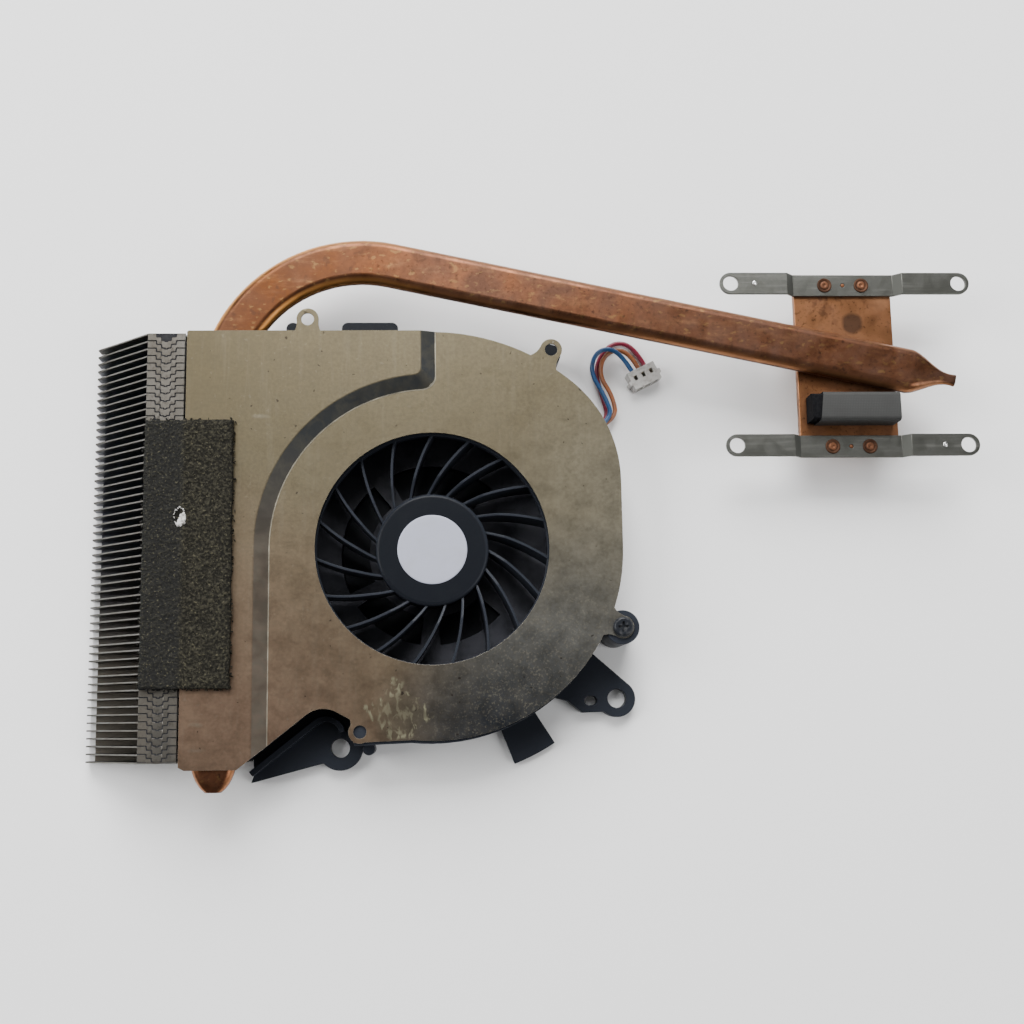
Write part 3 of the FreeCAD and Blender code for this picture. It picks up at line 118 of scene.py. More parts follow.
camera = new_object("camera", bpy.data.cameras.new("camera"))
camera.location = CAMERA_PLACE
camera.rotation_euler = [math.radians(angle) for angle in CAMERA_TURN]
camera.data.lens = CAMERA_LENS
camera.data.sensor_width = CAMERA_SENSOR
camera.data.shift_x = CAMERA_SHIFT
camera.data.shift_y = CAMERA_SHIFT
camera.data.clip_start, camera.data.clip_end = CAMERA_REACH
bpy.context.scene.camera = camera

for name, place, side, power in SOFT_LIGHTS:
    lamp = bpy.data.lights.new(name, "AREA")
    lamp.shape = "SQUARE"
    lamp.size = side
    lamp.energy = power
    holder = new_object(name, lamp)
    holder.location = place
    holder.rotation_euler = (Vector(LIGHT_AIM) - Vector(place)).to_track_quat("-Z", "Y").to_euler()
world = bpy.data.worlds.new("studio")
bpy.context.scene.world = world
world.use_nodes = True
world.node_tree.nodes["Background"].inputs["Color"].default_value = STUDIO_WHITE
world.node_tree.nodes["Background"].inputs["Strength"].default_value = STUDIO_STRENGTH


# Leads: three stranded wires in soft coloured sleeves, red, brown and blue. They leave the
# case at a notch in its wall, cross over each other in one loop and end in the plug.

LEAD_DIAMETER = 1.0 * MM
LEAD_ROUTES = {
    "lead_red": (0.6, ((-54.9, -12.4), (-50.4, -9.8), (-52.2, -3.8), (-53.6, 2.8), (-49.8, 8.4),
                       (-44.6, 7.6), (-42.16, 2.68))),
    "lead_brown": (1.65, ((-55.2, -12.6), (-49.0, -9.9), (-49.8, -4.4), (-52.8, 0.4), (-51.4, 5.6),
                          (-46.2, 6.5), (-43.86, 1.83))),
    "lead_blue": (2.7, ((-55.4, -13.0), (-49.9, -10.0), (-51.8, -4.6), (-55.0, 1.0), (-53.2, 6.0),
                        (-48.4, 6.1), (-45.56, 0.98))),
}
SLEEVE_COLOURS = {
    "lead_red": (0.21, 0.010, 0.035),
    "lead_brown": (0.26, 0.085, 0.028),
    "lead_blue": (0.008, 0.060, 0.17),
}
SLEEVE_DULLING = 0.6
SLEEVE_DUST = 0.01


def add_node(tree, kind, inputs=(), **settings):
    """Add a node with its settings, and set or wire its inputs, given in order or by name."""
    made = tree.nodes.new(kind)
    for setting, value in settings.items():
        setattr(made, setting, value)
    for label, value in inputs.items() if isinstance(inputs, dict) else enumerate(inputs):
        if isinstance(value, bpy.types.NodeSocket):
            tree.links.new(value, made.inputs[label])
        else:
            made.inputs[label].default_value = value
    return made


def worked(tree, operation, *inputs, **settings):
    """One step of arithmetic on masks and numbers."""
    return add_node(tree, "ShaderNodeMath", inputs, operation=operation, **settings).outputs[0]


def mapped(tree, value, low, high, first=0.0, last=1.0):
    """Stretch the span from low to high into the span from first to last, and stop at its ends."""
    inputs = {"Value": value, "From Min": low, "From Max": high, "To Min": first, "To Max": last}
    return add_node(tree, "ShaderNodeMapRange", inputs).outputs["Result"]


def vectored(tree, operation, *inputs):
    """One step of arithmetic on places."""
    return add_node(tree, "ShaderNodeVectorMath", inputs, operation=operation).outputs[0]


def object_place(tree):
    return add_node(tree, "ShaderNodeTexCoord").outputs["Object"]


def new_group(name, sockets_in, sockets_out):
    """An empty shader group with named sockets; a number or a vector is an input's default."""
    group = bpy.data.node_groups.new(name, "ShaderNodeTree")
    for label, value in sockets_in.items():
        kind = "NodeSocketVector" if isinstance(value, tuple) else "NodeSocketFloat"
        socket = group.interface.new_socket(label, in_out="INPUT", socket_type=kind)
        socket.default_value = value
    for label in sockets_out:
        group.interface.new_socket(label, in_out="OUTPUT", socket_type="NodeSocketFloat")
    return group, group.nodes.new("NodeGroupInput").outputs, group.nodes.new("NodeGroupOutput").inputs


def placed(material, group, values):
    """Put an effect's group in a material, with its values under their names in small letters."""
    made = material.node_tree.nodes.new("ShaderNodeGroup")
    made.node_tree = group
    for label, value in values.items():
        made.inputs[label.capitalize()].default_value = value
    return made.outputs


def mottling_group():
    """Soft uneven clouds over the piece: the mask of a tarnish, a smudge or a worn sleeve."""
    settings = {"Scale": 200.0, "Detail": 4.0, "Distortion": 0.3, "Low": 0.4, "High": 0.6,
                "Stretch": (1.0, 1.0, 1.0)}
    group, given, result = new_group("mottling", settings, ["Mask"])
    stretched = vectored(group, "MULTIPLY", object_place(group), given["Stretch"])
    clouds = add_node(group, "ShaderNodeTexNoise", {
        "Vector": stretched, "Scale": given["Scale"], "Detail": given["Detail"],
        "Distortion": given["Distortion"]}).outputs["Fac"]
    group.links.new(mapped(group, clouds, given["Low"], given["High"]), result["Mask"])
    return group


MOTTLING = mottling_group()


def mottling(material, **values):
    return placed(material, MOTTLING, values)["Mask"]


def spread(material, mask, low, high):
    """Turn a mask into numbers between two ends, such as a range of roughness."""
    return mapped(material.node_tree, mask, 0.0, 1.0, low, high)


def both_masks(material, first, second):
    """The part that two masks share."""
    return worked(material.node_tree, "MULTIPLY", first, second)


def over(material, below, mask, above):
    """Lay one colour over another where the mask is 1, and return the mixed colour."""
    mix = add_node(material.node_tree, "ShaderNodeMix", {0: mask}, data_type="RGBA")
    for socket, colour in ((mix.inputs[6], below), (mix.inputs[7], above)):
        if isinstance(colour, tuple):
            socket.default_value = (*colour, 1.0)
        else:
            material.node_tree.links.new(colour, socket)
    return mix.outputs[2]


def layered(material, colour, layers):
    """Lay colours one over another. Each layer is a mask, its strength and its colour."""
    for mask, strength, above in layers:
        colour = over(material, colour, spread(material, mask, 0.0, strength), above)
    return colour


def feed(material, **sockets):
    """Wire outputs into the Principled shader, such as base_color=..., roughness=..."""
    shader = material.node_tree.nodes["Principled BSDF"]
    for key, output in sockets.items():
        label = " ".join(word.capitalize() for word in key.split("_"))
        material.node_tree.links.new(output, shader.inputs[label])


def relief(material, height, strength, depth, below=None):
    """A bump of that real depth; below is the bump that it goes over."""
    inputs = {"Strength": strength, "Distance": depth, "Height": height}
    if below is not None:
        inputs["Normal"] = below
    return add_node(material.node_tree, "ShaderNodeBump", inputs).outputs["Normal"]


def worn_finish(name, colour, worn_colour, metallic, roughness, gloss=None, **clouds):
    """One colour that wear or dirt turns into another in clouds, which change its roughness too."""
    material = new_finish(name, colour, metallic, roughness[0], gloss)
    worn = mottling(material, **clouds)
    feed(material, base_color=over(material, colour, worn, worn_colour),
         roughness=spread(material, worn, *roughness))
    return material


leads = {}
for name, (height, points) in LEAD_ROUTES.items():
    curve = bpy.data.curves.new(name + "_line", "CURVE")
    curve.dimensions = "3D"
    curve.bevel_depth = LEAD_DIAMETER / 2
    curve.bevel_resolution = 5
    curve.resolution_u = 16
    curve.use_fill_caps = True
    spline = curve.splines.new("NURBS")
    spline.points.add(len(points) - 1)
    for point, (x, y) in zip(spline.points, points):
        point.co = (x * MM, y * MM, TABLE_HEIGHT + height * MM, 1.0)
    spline.order_u = 3
    spline.use_endpoint_u = True
    wire = new_object(name + "_wire", curve)
    colour = SLEEVE_COLOURS[name]
    dull = tuple(channel * SLEEVE_DULLING + SLEEVE_DUST for channel in colour)
    wire.data.materials.append(worn_finish(
        name + "_sleeve", colour, dull, 0.0, (0.32, 0.5), scale=900.0, detail=3.0, low=0.45, high=0.75))
    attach(wire, "cooler")
    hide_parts(name)
    leads[name] = wire


# Plug: a three-way crimp housing moulded in off-white plastic, with open bays for the
# contacts on one side, small latch windows on top and a guide ear at each end.

PLUG_COLOUR = (0.42, 0.41, 0.39)
PLUG_DIRT = (0.24, 0.22, 0.20)
CONTACT_COLOUR = (0.62, 0.52, 0.34)
MERGE_REACH = 0.002 * MM
FLAT_ANGLE = 0.4
CREASE_ANGLE = 32.0


def merged_copy(node):
    """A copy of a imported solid, its loose triangles joined and its flat faces made whole."""
    form = bmesh.new()
    form.from_mesh(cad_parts[node].data)
    bmesh.ops.remove_doubles(form, verts=form.verts, dist=MERGE_REACH)
    bmesh.ops.dissolve_degenerate(form, dist=MERGE_REACH, edges=form.edges)
    bmesh.ops.dissolve_limit(form, angle_limit=math.radians(FLAT_ANGLE), verts=form.verts, edges=form.edges)
    return form


def soften(form, edges, offset, segments=2, clamp=False):
    """Round edges, or chamfer them where there is one segment."""
    return bmesh.ops.bevel(
        form, geom=edges, offset=offset, offset_type="OFFSET", affect="EDGES",
        segments=segments, profile=0.5, material=-1, clamp_overlap=clamp,
    )


def shade_smooth(form, hard_angle=None):
    """Shade all faces smooth, with hard edges where they turn by more than an angle in degrees."""
    for face in form.faces:
        face.smooth = True
    if hard_angle is not None:
        for edge in form.edges:
            edge.smooth = edge.calc_face_angle(0.0) < math.radians(hard_angle)


def stand_in(node, name, form, material, body):
    """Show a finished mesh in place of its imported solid."""
    piece = mesh_object(name, form, material)
    weighted = piece.modifiers.new("even_shading", "WEIGHTED_NORMAL")
    weighted.keep_sharp = True
    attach(piece, body)
    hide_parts(node)
    return piece


def dressed(node, body, material, bevel):
    """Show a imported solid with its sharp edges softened, in its own finish."""
    form = merged_copy(node)
    if bevel:
        limit = math.radians(CREASE_ANGLE)
        creases = [edge for edge in form.edges if edge.is_manifold and edge.calc_face_angle(0.0) > limit]
        soften(form, creases, bevel)
    shade_smooth(form, 50.0)
    return stand_in(node, node + "_shell", form, material, body)


plug_plastic = worn_finish("plug_plastic", PLUG_COLOUR, PLUG_DIRT, 0.0, (0.38, 0.6),
                           scale=1100.0, detail=4.0, low=0.5, high=0.75)
plug = dressed("lead_plug", "cooler", plug_plastic, bevel=0.1 * MM)

contact_metal = new_finish("contact_metal", CONTACT_COLOUR, 1.0, 0.3)
feed(contact_metal, roughness=spread(contact_metal, mottling(contact_metal, scale=1500.0), 0.22, 0.45))
contacts = dressed("plug_contacts", "cooler", contact_metal, bevel=0.04 * MM)

for name, wire in leads.items():
    height, points = LEAD_ROUTES[name]


# Cold plate: a slug of bare copper that touches the processor. Its top is dull brown, rubbed
# brighter at one corner and pitted at the other, with one round stain where a pad sat.

COPPER = (0.335, 0.150, 0.068)
COPPER_BROWN = (0.190, 0.088, 0.046)
COPPER_BRIGHT = (0.45, 0.22, 0.11)
PLATE_PITS = (0.075, 0.038, 0.024)
PLATE_GRIME = (0.110, 0.050, 0.028)
PLATE_STAIN = (0.075, 0.042, 0.028)
PLATE_TOP = 1.5 * MM
STAIN_PLACE = (1.9 * MM, 9.6 * MM, PLATE_TOP)
STAIN_RADIUS = 3.1 * MM
RUBBED_PLACE = (8.5 * MM, 15.5 * MM, PLATE_TOP)
PITTED_PLACE = (-4.0 * MM, 14.0 * MM, PLATE_TOP)
SPECK_SHADE = 0.6


def patch_group():
    """A round blotch with a ragged edge, at a place on the piece."""
    settings = {"Centre": (0.0, 0.0, 0.0), "Radius": 0.002, "Ragged": 0.0004, "Soft": 0.0004,
                "Scale": 900.0, "Squash": (1.0, 1.0, 1.0)}
    group, given, result = new_group("patch", settings, ["Mask"])
    place = object_place(group)
    offset = vectored(group, "SUBTRACT", place, given["Centre"])
    squashed = vectored(group, "MULTIPLY", offset, given["Squash"])
    reach = add_node(group, "ShaderNodeVectorMath", (squashed,), operation="LENGTH").outputs["Value"]
    clouds = add_node(group, "ShaderNodeTexNoise", {
        "Vector": place, "Scale": given["Scale"]}).outputs["Fac"]
    wander = worked(group, "MULTIPLY_ADD", clouds, given["Ragged"], reach)
    edge = worked(group, "SUBTRACT", given["Radius"], wander)
    group.links.new(worked(group, "DIVIDE", edge, given["Soft"], use_clamp=True), result["Mask"])
    return group


PATCH = patch_group()


def patch(material, **values):
    return placed(material, PATCH, values)["Mask"]


def drag_mark_group():
    """Fine straight drag marks: a height to bump by and a mask of the marks that catch light."""
    settings = {"Across": (1.0, 1.0, 1.0), "Scale": 500.0, "Low": 0.5, "High": 0.7}
    group, given, result = new_group("drag_marks", settings, ["Height", "Mask"])
    stretched = vectored(group, "MULTIPLY", object_place(group), given["Across"])
    marks = add_node(group, "ShaderNodeTexNoise", {
        "Vector": stretched, "Scale": given["Scale"], "Detail": 6.0, "Roughness": 0.7}).outputs["Fac"]
    group.links.new(marks, result["Height"])
    group.links.new(mapped(group, marks, given["Low"], given["High"]), result["Mask"])
    return group


DRAG_MARKS = drag_mark_group()


def drag_marks(material, **values):
    made = placed(material, DRAG_MARKS, values)
    return made["Height"], made["Mask"]


def copper_finish(name, fresh, aged, along=(1.0, 1.0, 1.0)):
    """Bare copper gone brown in clouds, with drag marks along one way."""
    material = new_finish(name, fresh, 1.0, 0.4)
    clouds = mottling(material, scale=160.0, detail=6.0, distortion=0.6, low=0.36, high=0.64)
    specks = mottling(material, scale=1400.0, detail=3.0, low=0.58, high=0.72)
    height, marks = drag_marks(material, across=along, scale=420.0, low=0.52, high=0.72)
    colour = over(material, fresh, clouds, aged)
    colour = over(material, colour, specks, tuple(channel * SPECK_SHADE for channel in aged))
    feed(material, base_color=colour, roughness=spread(material, clouds, 0.30, 0.50))
    feed(material, normal=relief(material, height, 0.25, 0.03 * MM))
    return material, colour, marks


plate_copper, plate_colour = copper_finish("plate_copper", COPPER, COPPER_BROWN, (1.0, 0.12, 1.0))[:2]
stain = patch(plate_copper, centre=STAIN_PLACE, radius=STAIN_RADIUS, ragged=0.9 * MM, soft=0.8 * MM,
              scale=500.0)
rubbed = patch(plate_copper, centre=RUBBED_PLACE, radius=6.0 * MM, ragged=4.0 * MM, soft=4.0 * MM,
               scale=260.0)
pitted = patch(plate_copper, centre=PITTED_PLACE, radius=8.0 * MM, ragged=3.0 * MM, soft=5.0 * MM,
               scale=300.0)
pits = mottling(plate_copper, scale=820.0, detail=3.0, low=0.50, high=0.60)
plate_grime = mottling(plate_copper, scale=210.0, detail=6.0, distortion=0.8, low=0.50, high=0.70)
feed(plate_copper, base_color=layered(plate_copper, plate_colour, (
    (rubbed, 0.6, COPPER_BRIGHT),
    (both_masks(plate_copper, pitted, pits), 0.65, PLATE_PITS),
    (plate_grime, 0.45, PLATE_GRIME),
    (stain, 0.85, PLATE_STAIN),
)))
dressed("cold_plate", "cooler", plate_copper, bevel=0.15 * MM)


# Spring arms: two strips of stamped spring steel, rolled bright and dulled by handling. Each
# steps up off the plate at both sides and has a round eye for a screw at each end. The slopes of
# the steps are painted darker as shade.

ARM_STEEL = (0.148, 0.150, 0.134)
ARM_DULL = (0.095, 0.096, 0.088)
ARM_MARKS = (0.26, 0.26, 0.24)
ARM_BEND_SHADE = (0.092, 0.094, 0.085)


def slope_group():
    """A mask of the slopes between the flats of a bent sheet, from how far each face leans."""
    group, given, result = new_group("slopes", {"Flat": 0.99, "Lean": 0.96, "Steep": 0.8}, ["Mask"])
    normal = add_node(group, "ShaderNodeNewGeometry").outputs["Normal"]
    upward = add_node(group, "ShaderNodeSeparateXYZ", (normal,)).outputs["Z"]
    leaning = mapped(group, upward, given["Flat"], given["Lean"])
    gentle = worked(group, "GREATER_THAN", upward, given["Steep"])
    group.links.new(worked(group, "MULTIPLY", leaning, gentle), result["Mask"])
    return group


SLOPES = slope_group()


def slopes(material, **values):
    return placed(material, SLOPES, values)["Mask"]


arm_steel = new_finish("arm_steel", ARM_STEEL, 1.0, 0.42)
arm_clouds = mottling(arm_steel, scale=330.0, detail=5.0, low=0.38, high=0.66)
arm_height, arm_marks = drag_marks(arm_steel, across=(0.05, 1.0, 1.0), scale=900.0, low=0.5, high=0.75)
arm_bends = slopes(arm_steel, flat=0.99, lean=0.90, steep=0.3)
# The slopes of the steps get a darker colour: painted shade.
arm_colour = layered(arm_steel, ARM_STEEL, (
    (arm_clouds, 1.0, ARM_DULL),
    (arm_marks, 0.6, ARM_MARKS),
    (arm_bends, 1.0, ARM_BEND_SHADE),
))
arm_rough = worked(arm_steel.node_tree, "MAXIMUM", spread(arm_steel, arm_clouds, 0.32, 0.48),
                   spread(arm_steel, arm_bends, 0.0, 0.70))
feed(arm_steel, base_color=arm_colour, roughness=arm_rough,
     normal=relief(arm_steel, arm_height, 0.3, 0.02 * MM))
for arm in ("upper_arm", "lower_arm"):
    dressed(arm, "cooler", arm_steel, bevel=0.09 * MM)


# Rivets: four copper studs pressed up through the plate and spread over the arms. Each head has
# a dark struck ring round a brighter raised boss with a dimple. A smaller stud is between them.

RIVET_SPAN = 8.1 * MM
ARM_SPAN = 36.0 * MM
RIVET_BOSS = 0.88 * MM
RIVET_RINGS = (
    (0.0, 0.02), (0.78, 0.02), (0.78, 2.2), (1.60, 2.2), (1.60, 2.30), (1.52, 2.38), (1.32, 2.40),
    (1.18, 2.32), (1.04, 2.24), (0.94, 2.25), (0.86, 2.36), (0.78, 2.42), (0.42, 2.44), (0.22, 2.35),
    (0.08, 2.29), (0.0, 2.25),
)
STUD_RINGS = ((0.0, 1.7), (0.42, 1.7), (0.42, 2.15), (0.34, 2.24), (0.16, 2.27), (0.0, 2.28))
RIVET_COPPERS = (
    ("boss_copper", (0.205, 0.090, 0.048), (0.125, 0.058, 0.034), (0.62, 0.48)),
    ("ring_copper", (0.100, 0.050, 0.031), (0.060, 0.031, 0.020), (0.66, 0.52)),
)


def turned(form, rings, place, steps=32):
    """Spin rings of radius and height, in mm, round an upright axis at a place."""
    others = set(form.verts)
    corners = [form.verts.new((radius * MM, 0.0, height * MM)) for radius, height in rings]
    edges = [form.edges.new(pair) for pair in zip(corners, corners[1:])]
    bmesh.ops.spin(
        form, geom=corners + edges, cent=(0.0, 0.0, 0.0), axis=(0.0, 0.0, 1.0),
        angle=math.tau, steps=steps, use_merge=True,
    )
    made = [vert for vert in form.verts if vert not in others]
    bmesh.ops.remove_doubles(form, verts=made, dist=0.001 * MM)
    made = [vert for vert in form.verts if vert not in others]
    bmesh.ops.translate(form, verts=made, vec=place)


rivet_coppers = []
for name, fresh, aged, roughness in RIVET_COPPERS:
    copper, _, marks = copper_finish(name, fresh, aged)
    feed(copper, roughness=spread(copper, marks, *roughness))
    rivet_coppers.append(copper)

form = bmesh.new()
for side in (-1, 1):
    for end in (-1, 1):
        turned(form, RIVET_RINGS, (side * RIVET_SPAN / 2, end * ARM_SPAN / 2, 0.0))
for end in (-1, 1):
    turned(form, STUD_RINGS, (0.0, end * ARM_SPAN / 2, 0.0), steps=20)
bmesh.ops.recalc_face_normals(form, faces=form.faces)
shade_smooth(form)
for face in form.faces:
    centre = face.calc_center_median()
    reach = math.hypot(abs(centre.x) - RIVET_SPAN / 2, abs(centre.y) - ARM_SPAN / 2)
    face.material_index = 1 if reach > RIVET_BOSS and abs(centre.x) > RIVET_SPAN / 4 else 0
rivets = mesh_object("rivet_heads", form, *rivet_coppers)
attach(rivets, "cooler")
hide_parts("arm_rivets")


# Arm pins: two bright turned steel pins, one pressed into the hole near an end of each arm. Only
# the domed and scuffed end of each stands a little above the strip.

PIN_PLACES = (("upper_arm", -19.8 * MM), ("lower_arm", 19.8 * MM))
PIN_RINGS = ((0.0, -0.28), (0.38, -0.28), (0.38, 0.0), (0.56, 0.01), (0.56, 0.07), (0.44, 0.16),
             (0.22, 0.20), (0.10, 0.12), (0.0, 0.11))
PIN_STEEL = (0.92, 0.92, 0.90)
PIN_SCUFFS = (0.36, 0.36, 0.35)

pin_steel = worn_finish("pin_steel", PIN_STEEL, PIN_SCUFFS, 1.0, (0.22, 0.5),
                        scale=2600.0, detail=3.0, low=0.45, high=0.65)
form = bmesh.new()
for arm, across in PIN_PLACES:
    low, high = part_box(arm)
    turned(form, PIN_RINGS, (across, (low.y + high.y) / 2, high.z), steps=24)
bmesh.ops.recalc_face_normals(form, faces=form.faces)
shade_smooth(form)
pins = mesh_object("arm_pins", form, pin_steel)
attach(pins, "cooler")


# Heat pipe: one round copper pipe pressed to an oval and bent cold, with a wick and a little
# water sealed inside. Its top is stained brown, and its rounded sides carry a painted highlight,
# golden at the bend.

PIPE_COPPER = (0.185, 0.074, 0.036)
PIPE_BROWN = (0.098, 0.048, 0.031)
PIPE_BEND_COPPER = (0.098, 0.035, 0.012)
PIPE_BEND_GLINT = (0.72, 0.33, 0.085)
PIPE_STAIN = (0.095, 0.052, 0.037)
PIPE_DROPS = (0.050, 0.028, 0.020)
PIPE_MARKS = (0.34, 0.17, 0.08)
PIPE_GRAIN = (0.062, 0.031, 0.020)
PIPE_FLANK_HIGHLIGHT = (0.38, 0.17, 0.075)
PIPE_GOLD = (0.30, 0.18, 0.065)
PIPE_BURNT = (0.030, 0.019, 0.014)
PIPE_BEND_PLACE = (-134.0 * MM, 12.0 * MM, 0.0)
PIPE_TIP = (1.6 * MM, 0.3 * MM)


def ramp(material, axis, start, end):
    """A mask that grows from 0 to 1 between two places along one axis of the piece."""
    tree = material.node_tree
    parts = add_node(tree, "ShaderNodeSeparateXYZ", (object_place(tree),)).outputs
    return mapped(tree, parts[axis], start, end)


pipe_copper, pipe_colour, pipe_marks = copper_finish(
    "pipe_copper", PIPE_COPPER, PIPE_BROWN, (0.25, 1.0, 1.0))
pipe_band = mottling(pipe_copper, scale=55.0, detail=3.0, distortion=0.8, low=0.4, high=0.6)
pipe_drops = mottling(pipe_copper, scale=520.0, detail=5.0, distortion=0.2, low=0.60, high=0.68)
pipe_grain = mottling(pipe_copper, scale=1100.0, detail=4.0, distortion=0.2, low=0.40, high=0.64)
pipe_flecks = mottling(pipe_copper, scale=1050.0, detail=3.0, distortion=0.0, low=0.60, high=0.68,
                       stretch=(0.6, 1.0, 1.0))
pipe_flanks = slopes(pipe_copper, flat=0.93, lean=0.70, steep=0.2)
pipe_bend = patch(pipe_copper, centre=PIPE_BEND_PLACE, radius=52.0 * MM, ragged=10.0 * MM, soft=26.0 * MM,
                  scale=120.0)
pipe_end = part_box("heat_pipe")[1].x
pipe_tip = ramp(pipe_copper, "X", pipe_end - PIPE_TIP[0], pipe_end - PIPE_TIP[1])
feed(pipe_copper, base_color=layered(pipe_copper, pipe_colour, (
    (pipe_bend, 0.9, PIPE_BEND_COPPER),
    (pipe_band, 0.40, PIPE_STAIN),
    (pipe_drops, 0.5, PIPE_DROPS),
    (pipe_marks, 0.25, PIPE_MARKS),
    (pipe_grain, 0.32, PIPE_GRAIN),
    (pipe_flecks, 0.30, PIPE_GOLD),
    # Painted highlights: the rounded sides are brighter, most of all at the bend.
    (pipe_flanks, 0.55, PIPE_FLANK_HIGHLIGHT),
    (both_masks(pipe_copper, pipe_flanks, pipe_bend), 0.7, PIPE_BEND_GLINT),
    (pipe_tip, 0.8, PIPE_BURNT),
)))
dressed("heat_pipe", "cooler", pipe_copper, bevel=0.0)


# Gasket: a bar of soft foam wrapped in grey conductive cloth and stuck on the plate beside the
# pipe. The wrap stops short at the left, where the black foam sticks out of it.

GASKET_CLOTH = (0.019, 0.0195, 0.0185)
GASKET_DUST = (0.017, 0.017, 0.016)
GASKET_THREADS = (0.060, 0.060, 0.056)
GASKET_CORE = (0.0035, 0.0035, 0.0045)
GASKET_CELLS = (0.0075, 0.0075, 0.0085)
GASKET_ROUND = 0.9 * MM
GASKET_BARE = 2.3 * MM
GASKET_WALL = 0.35 * MM
GASKET_SLANT = 0.7 * MM
GASKET_SAG = 0.10 * MM
THREAD_SCALE = 900.0

gasket_cloth = new_finish("gasket_cloth", GASKET_CLOTH, 0.0, 0.72)
cloth_tree = gasket_cloth.node_tree
weave = [add_node(cloth_tree, "ShaderNodeTexWave", {
    "Vector": object_place(cloth_tree), "Scale": THREAD_SCALE, "Distortion": 0.4},
    bands_direction=direction).outputs["Fac"] for direction in ("X", "Y")]
crossed = both_masks(gasket_cloth, *weave)
cloth_dust = mottling(gasket_cloth, scale=420.0, detail=5.0, low=0.4, high=0.7)
cloth_colour = layered(gasket_cloth, GASKET_CLOTH, (
    (cloth_dust, 1.0, GASKET_DUST),
    (crossed, 0.25, GASKET_THREADS),
))
feed(gasket_cloth, base_color=cloth_colour, normal=relief(gasket_cloth, crossed, 0.4, 0.03 * MM))
gasket_core = new_finish("gasket_core", GASKET_CORE, 0.0, 0.95, gloss=0.1)
core_cells = mottling(gasket_core, scale=2600.0, detail=3.0, low=0.4, high=0.6)
feed(gasket_core, base_color=over(gasket_core, GASKET_CORE, core_cells, GASKET_CELLS))


def soft_bar(form, low, high, rounding):
    """A bar between two corners with its long top edges rounded, cut across so that it can sag."""
    made = bmesh.ops.create_cube(form, size=1.0)["verts"]
    bmesh.ops.scale(form, vec=high - low, verts=made)
    bmesh.ops.translate(form, vec=(low + high) / 2, verts=made)
    corners, lengthways = set(made), []
    for edge in [edge for edge in form.edges if edge.verts[0] in corners]:
        first, second = (vert.co for vert in edge.verts)
        on_top = min(first.z, second.z) > (low.z + high.z) / 2
        if on_top and abs(first.x - second.x) > 0.5 * (high.x - low.x):
            lengthways.append(edge)
    rounded = soften(form, lengthways, rounding, segments=5)
    near = {edge for vert in rounded["verts"] for face in vert.link_faces for edge in face.edges}
    bars = [edge for edge in form.edges
            if edge in near and abs(edge.verts[0].co.x - edge.verts[1].co.x) > 0.9 * (high.x - low.x)]
    bmesh.ops.subdivide_edges(form, edges=bars, cuts=22, use_grid_fill=True)


low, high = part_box("plate_gasket")
inset = Vector((0.0, GASKET_WALL, GASKET_WALL))
form = bmesh.new()
core_end = Vector((low.x + 2 * GASKET_BARE, high.y, high.z)) - inset
soft_bar(form, low + inset, core_end, GASKET_ROUND - GASKET_WALL)
for face in form.faces:
    face.material_index = 1
for vert in form.verts:
    if vert.co.x < low.x + 0.6 * MM:
        vert.co.x += (0.35 + 0.35 * noise.noise(vert.co * 900.0)) * MM
soft_bar(form, Vector((low.x + GASKET_BARE, low.y, low.z)), high, GASKET_ROUND)
for vert in form.verts:
    along = (vert.co.x - low.x) / (high.x - low.x)
    lift = math.sin(math.pi * min(max(along, 0.0), 1.0))
    if vert.co.z > high.z - 1.2 * MM:
        vert.co.z -= GASKET_SAG * (1.0 - lift) + 0.05 * MM * noise.noise(vert.co * 600.0)
    if vert.co.x < low.x + GASKET_BARE + 0.1 * MM:
        slant = (vert.co.y - low.y) / (high.y - low.y) - 0.5
        vert.co.x += GASKET_SLANT * slant * min(1.0, (vert.co.x - low.x) / GASKET_BARE)
for face in [face for face in form.faces if face.normal.x < -0.9 and face.material_index == 0]:
    face.material_index = 1
form.normal_update()
shade_smooth(form, 40.0)
gasket = mesh_object("plate_gasket_bar", form, gasket_cloth, gasket_core)
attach(gasket, "cooler")
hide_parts("plate_gasket")


# Fins: thin aluminium plates, each with a folded lip at the top and bottom. Bare metal, a little
# bent and scuffed at the exposed slanting edges. Between them, below the slanting edges, they are
# painted darker as shade, with dust in the shade towards one end.

FIN_METAL = (0.155, 0.153, 0.142)
FIN_DUST = (0.092, 0.086, 0.074)
FIN_TIP_DUST = (0.060, 0.055, 0.046)
GAP_SHADE = (0.082, 0.087, 0.104)
GAP_SHADE_DUSTY = (0.120, 0.108, 0.090)
SPOT_SHADE = 0.62
MARK_SHINE = 1.4
FIN_TIP = (-163.3 * MM, -5.6 * MM)
FIN_BROW = (-149.9 * MM, 5.5 * MM)
FIN_ENDS = (-83.2 * MM, 5.7 * MM)
GAP_DEPTH = (0.25 * MM, 1.5 * MM)


def painted_gap_shade(material):
    """Painted shade between the fins: how far below the slanting edges a point lies, from 0 at the edge to
    1.
    """
    tree = material.node_tree
    parts = add_node(tree, "ShaderNodeSeparateXYZ", (object_place(tree),)).outputs
    edge = mapped(tree, parts["X"], FIN_TIP[0], FIN_BROW[0], FIN_TIP[1], FIN_BROW[1])
    deep = mapped(tree, worked(tree, "SUBTRACT", edge, parts["Z"]), *GAP_DEPTH)
    middle, half = (FIN_ENDS[0] + FIN_ENDS[1]) / 2, (FIN_ENDS[1] - FIN_ENDS[0]) / 2
    return both_masks(material, deep, worked(tree, "COMPARE", parts["Y"], middle, half))


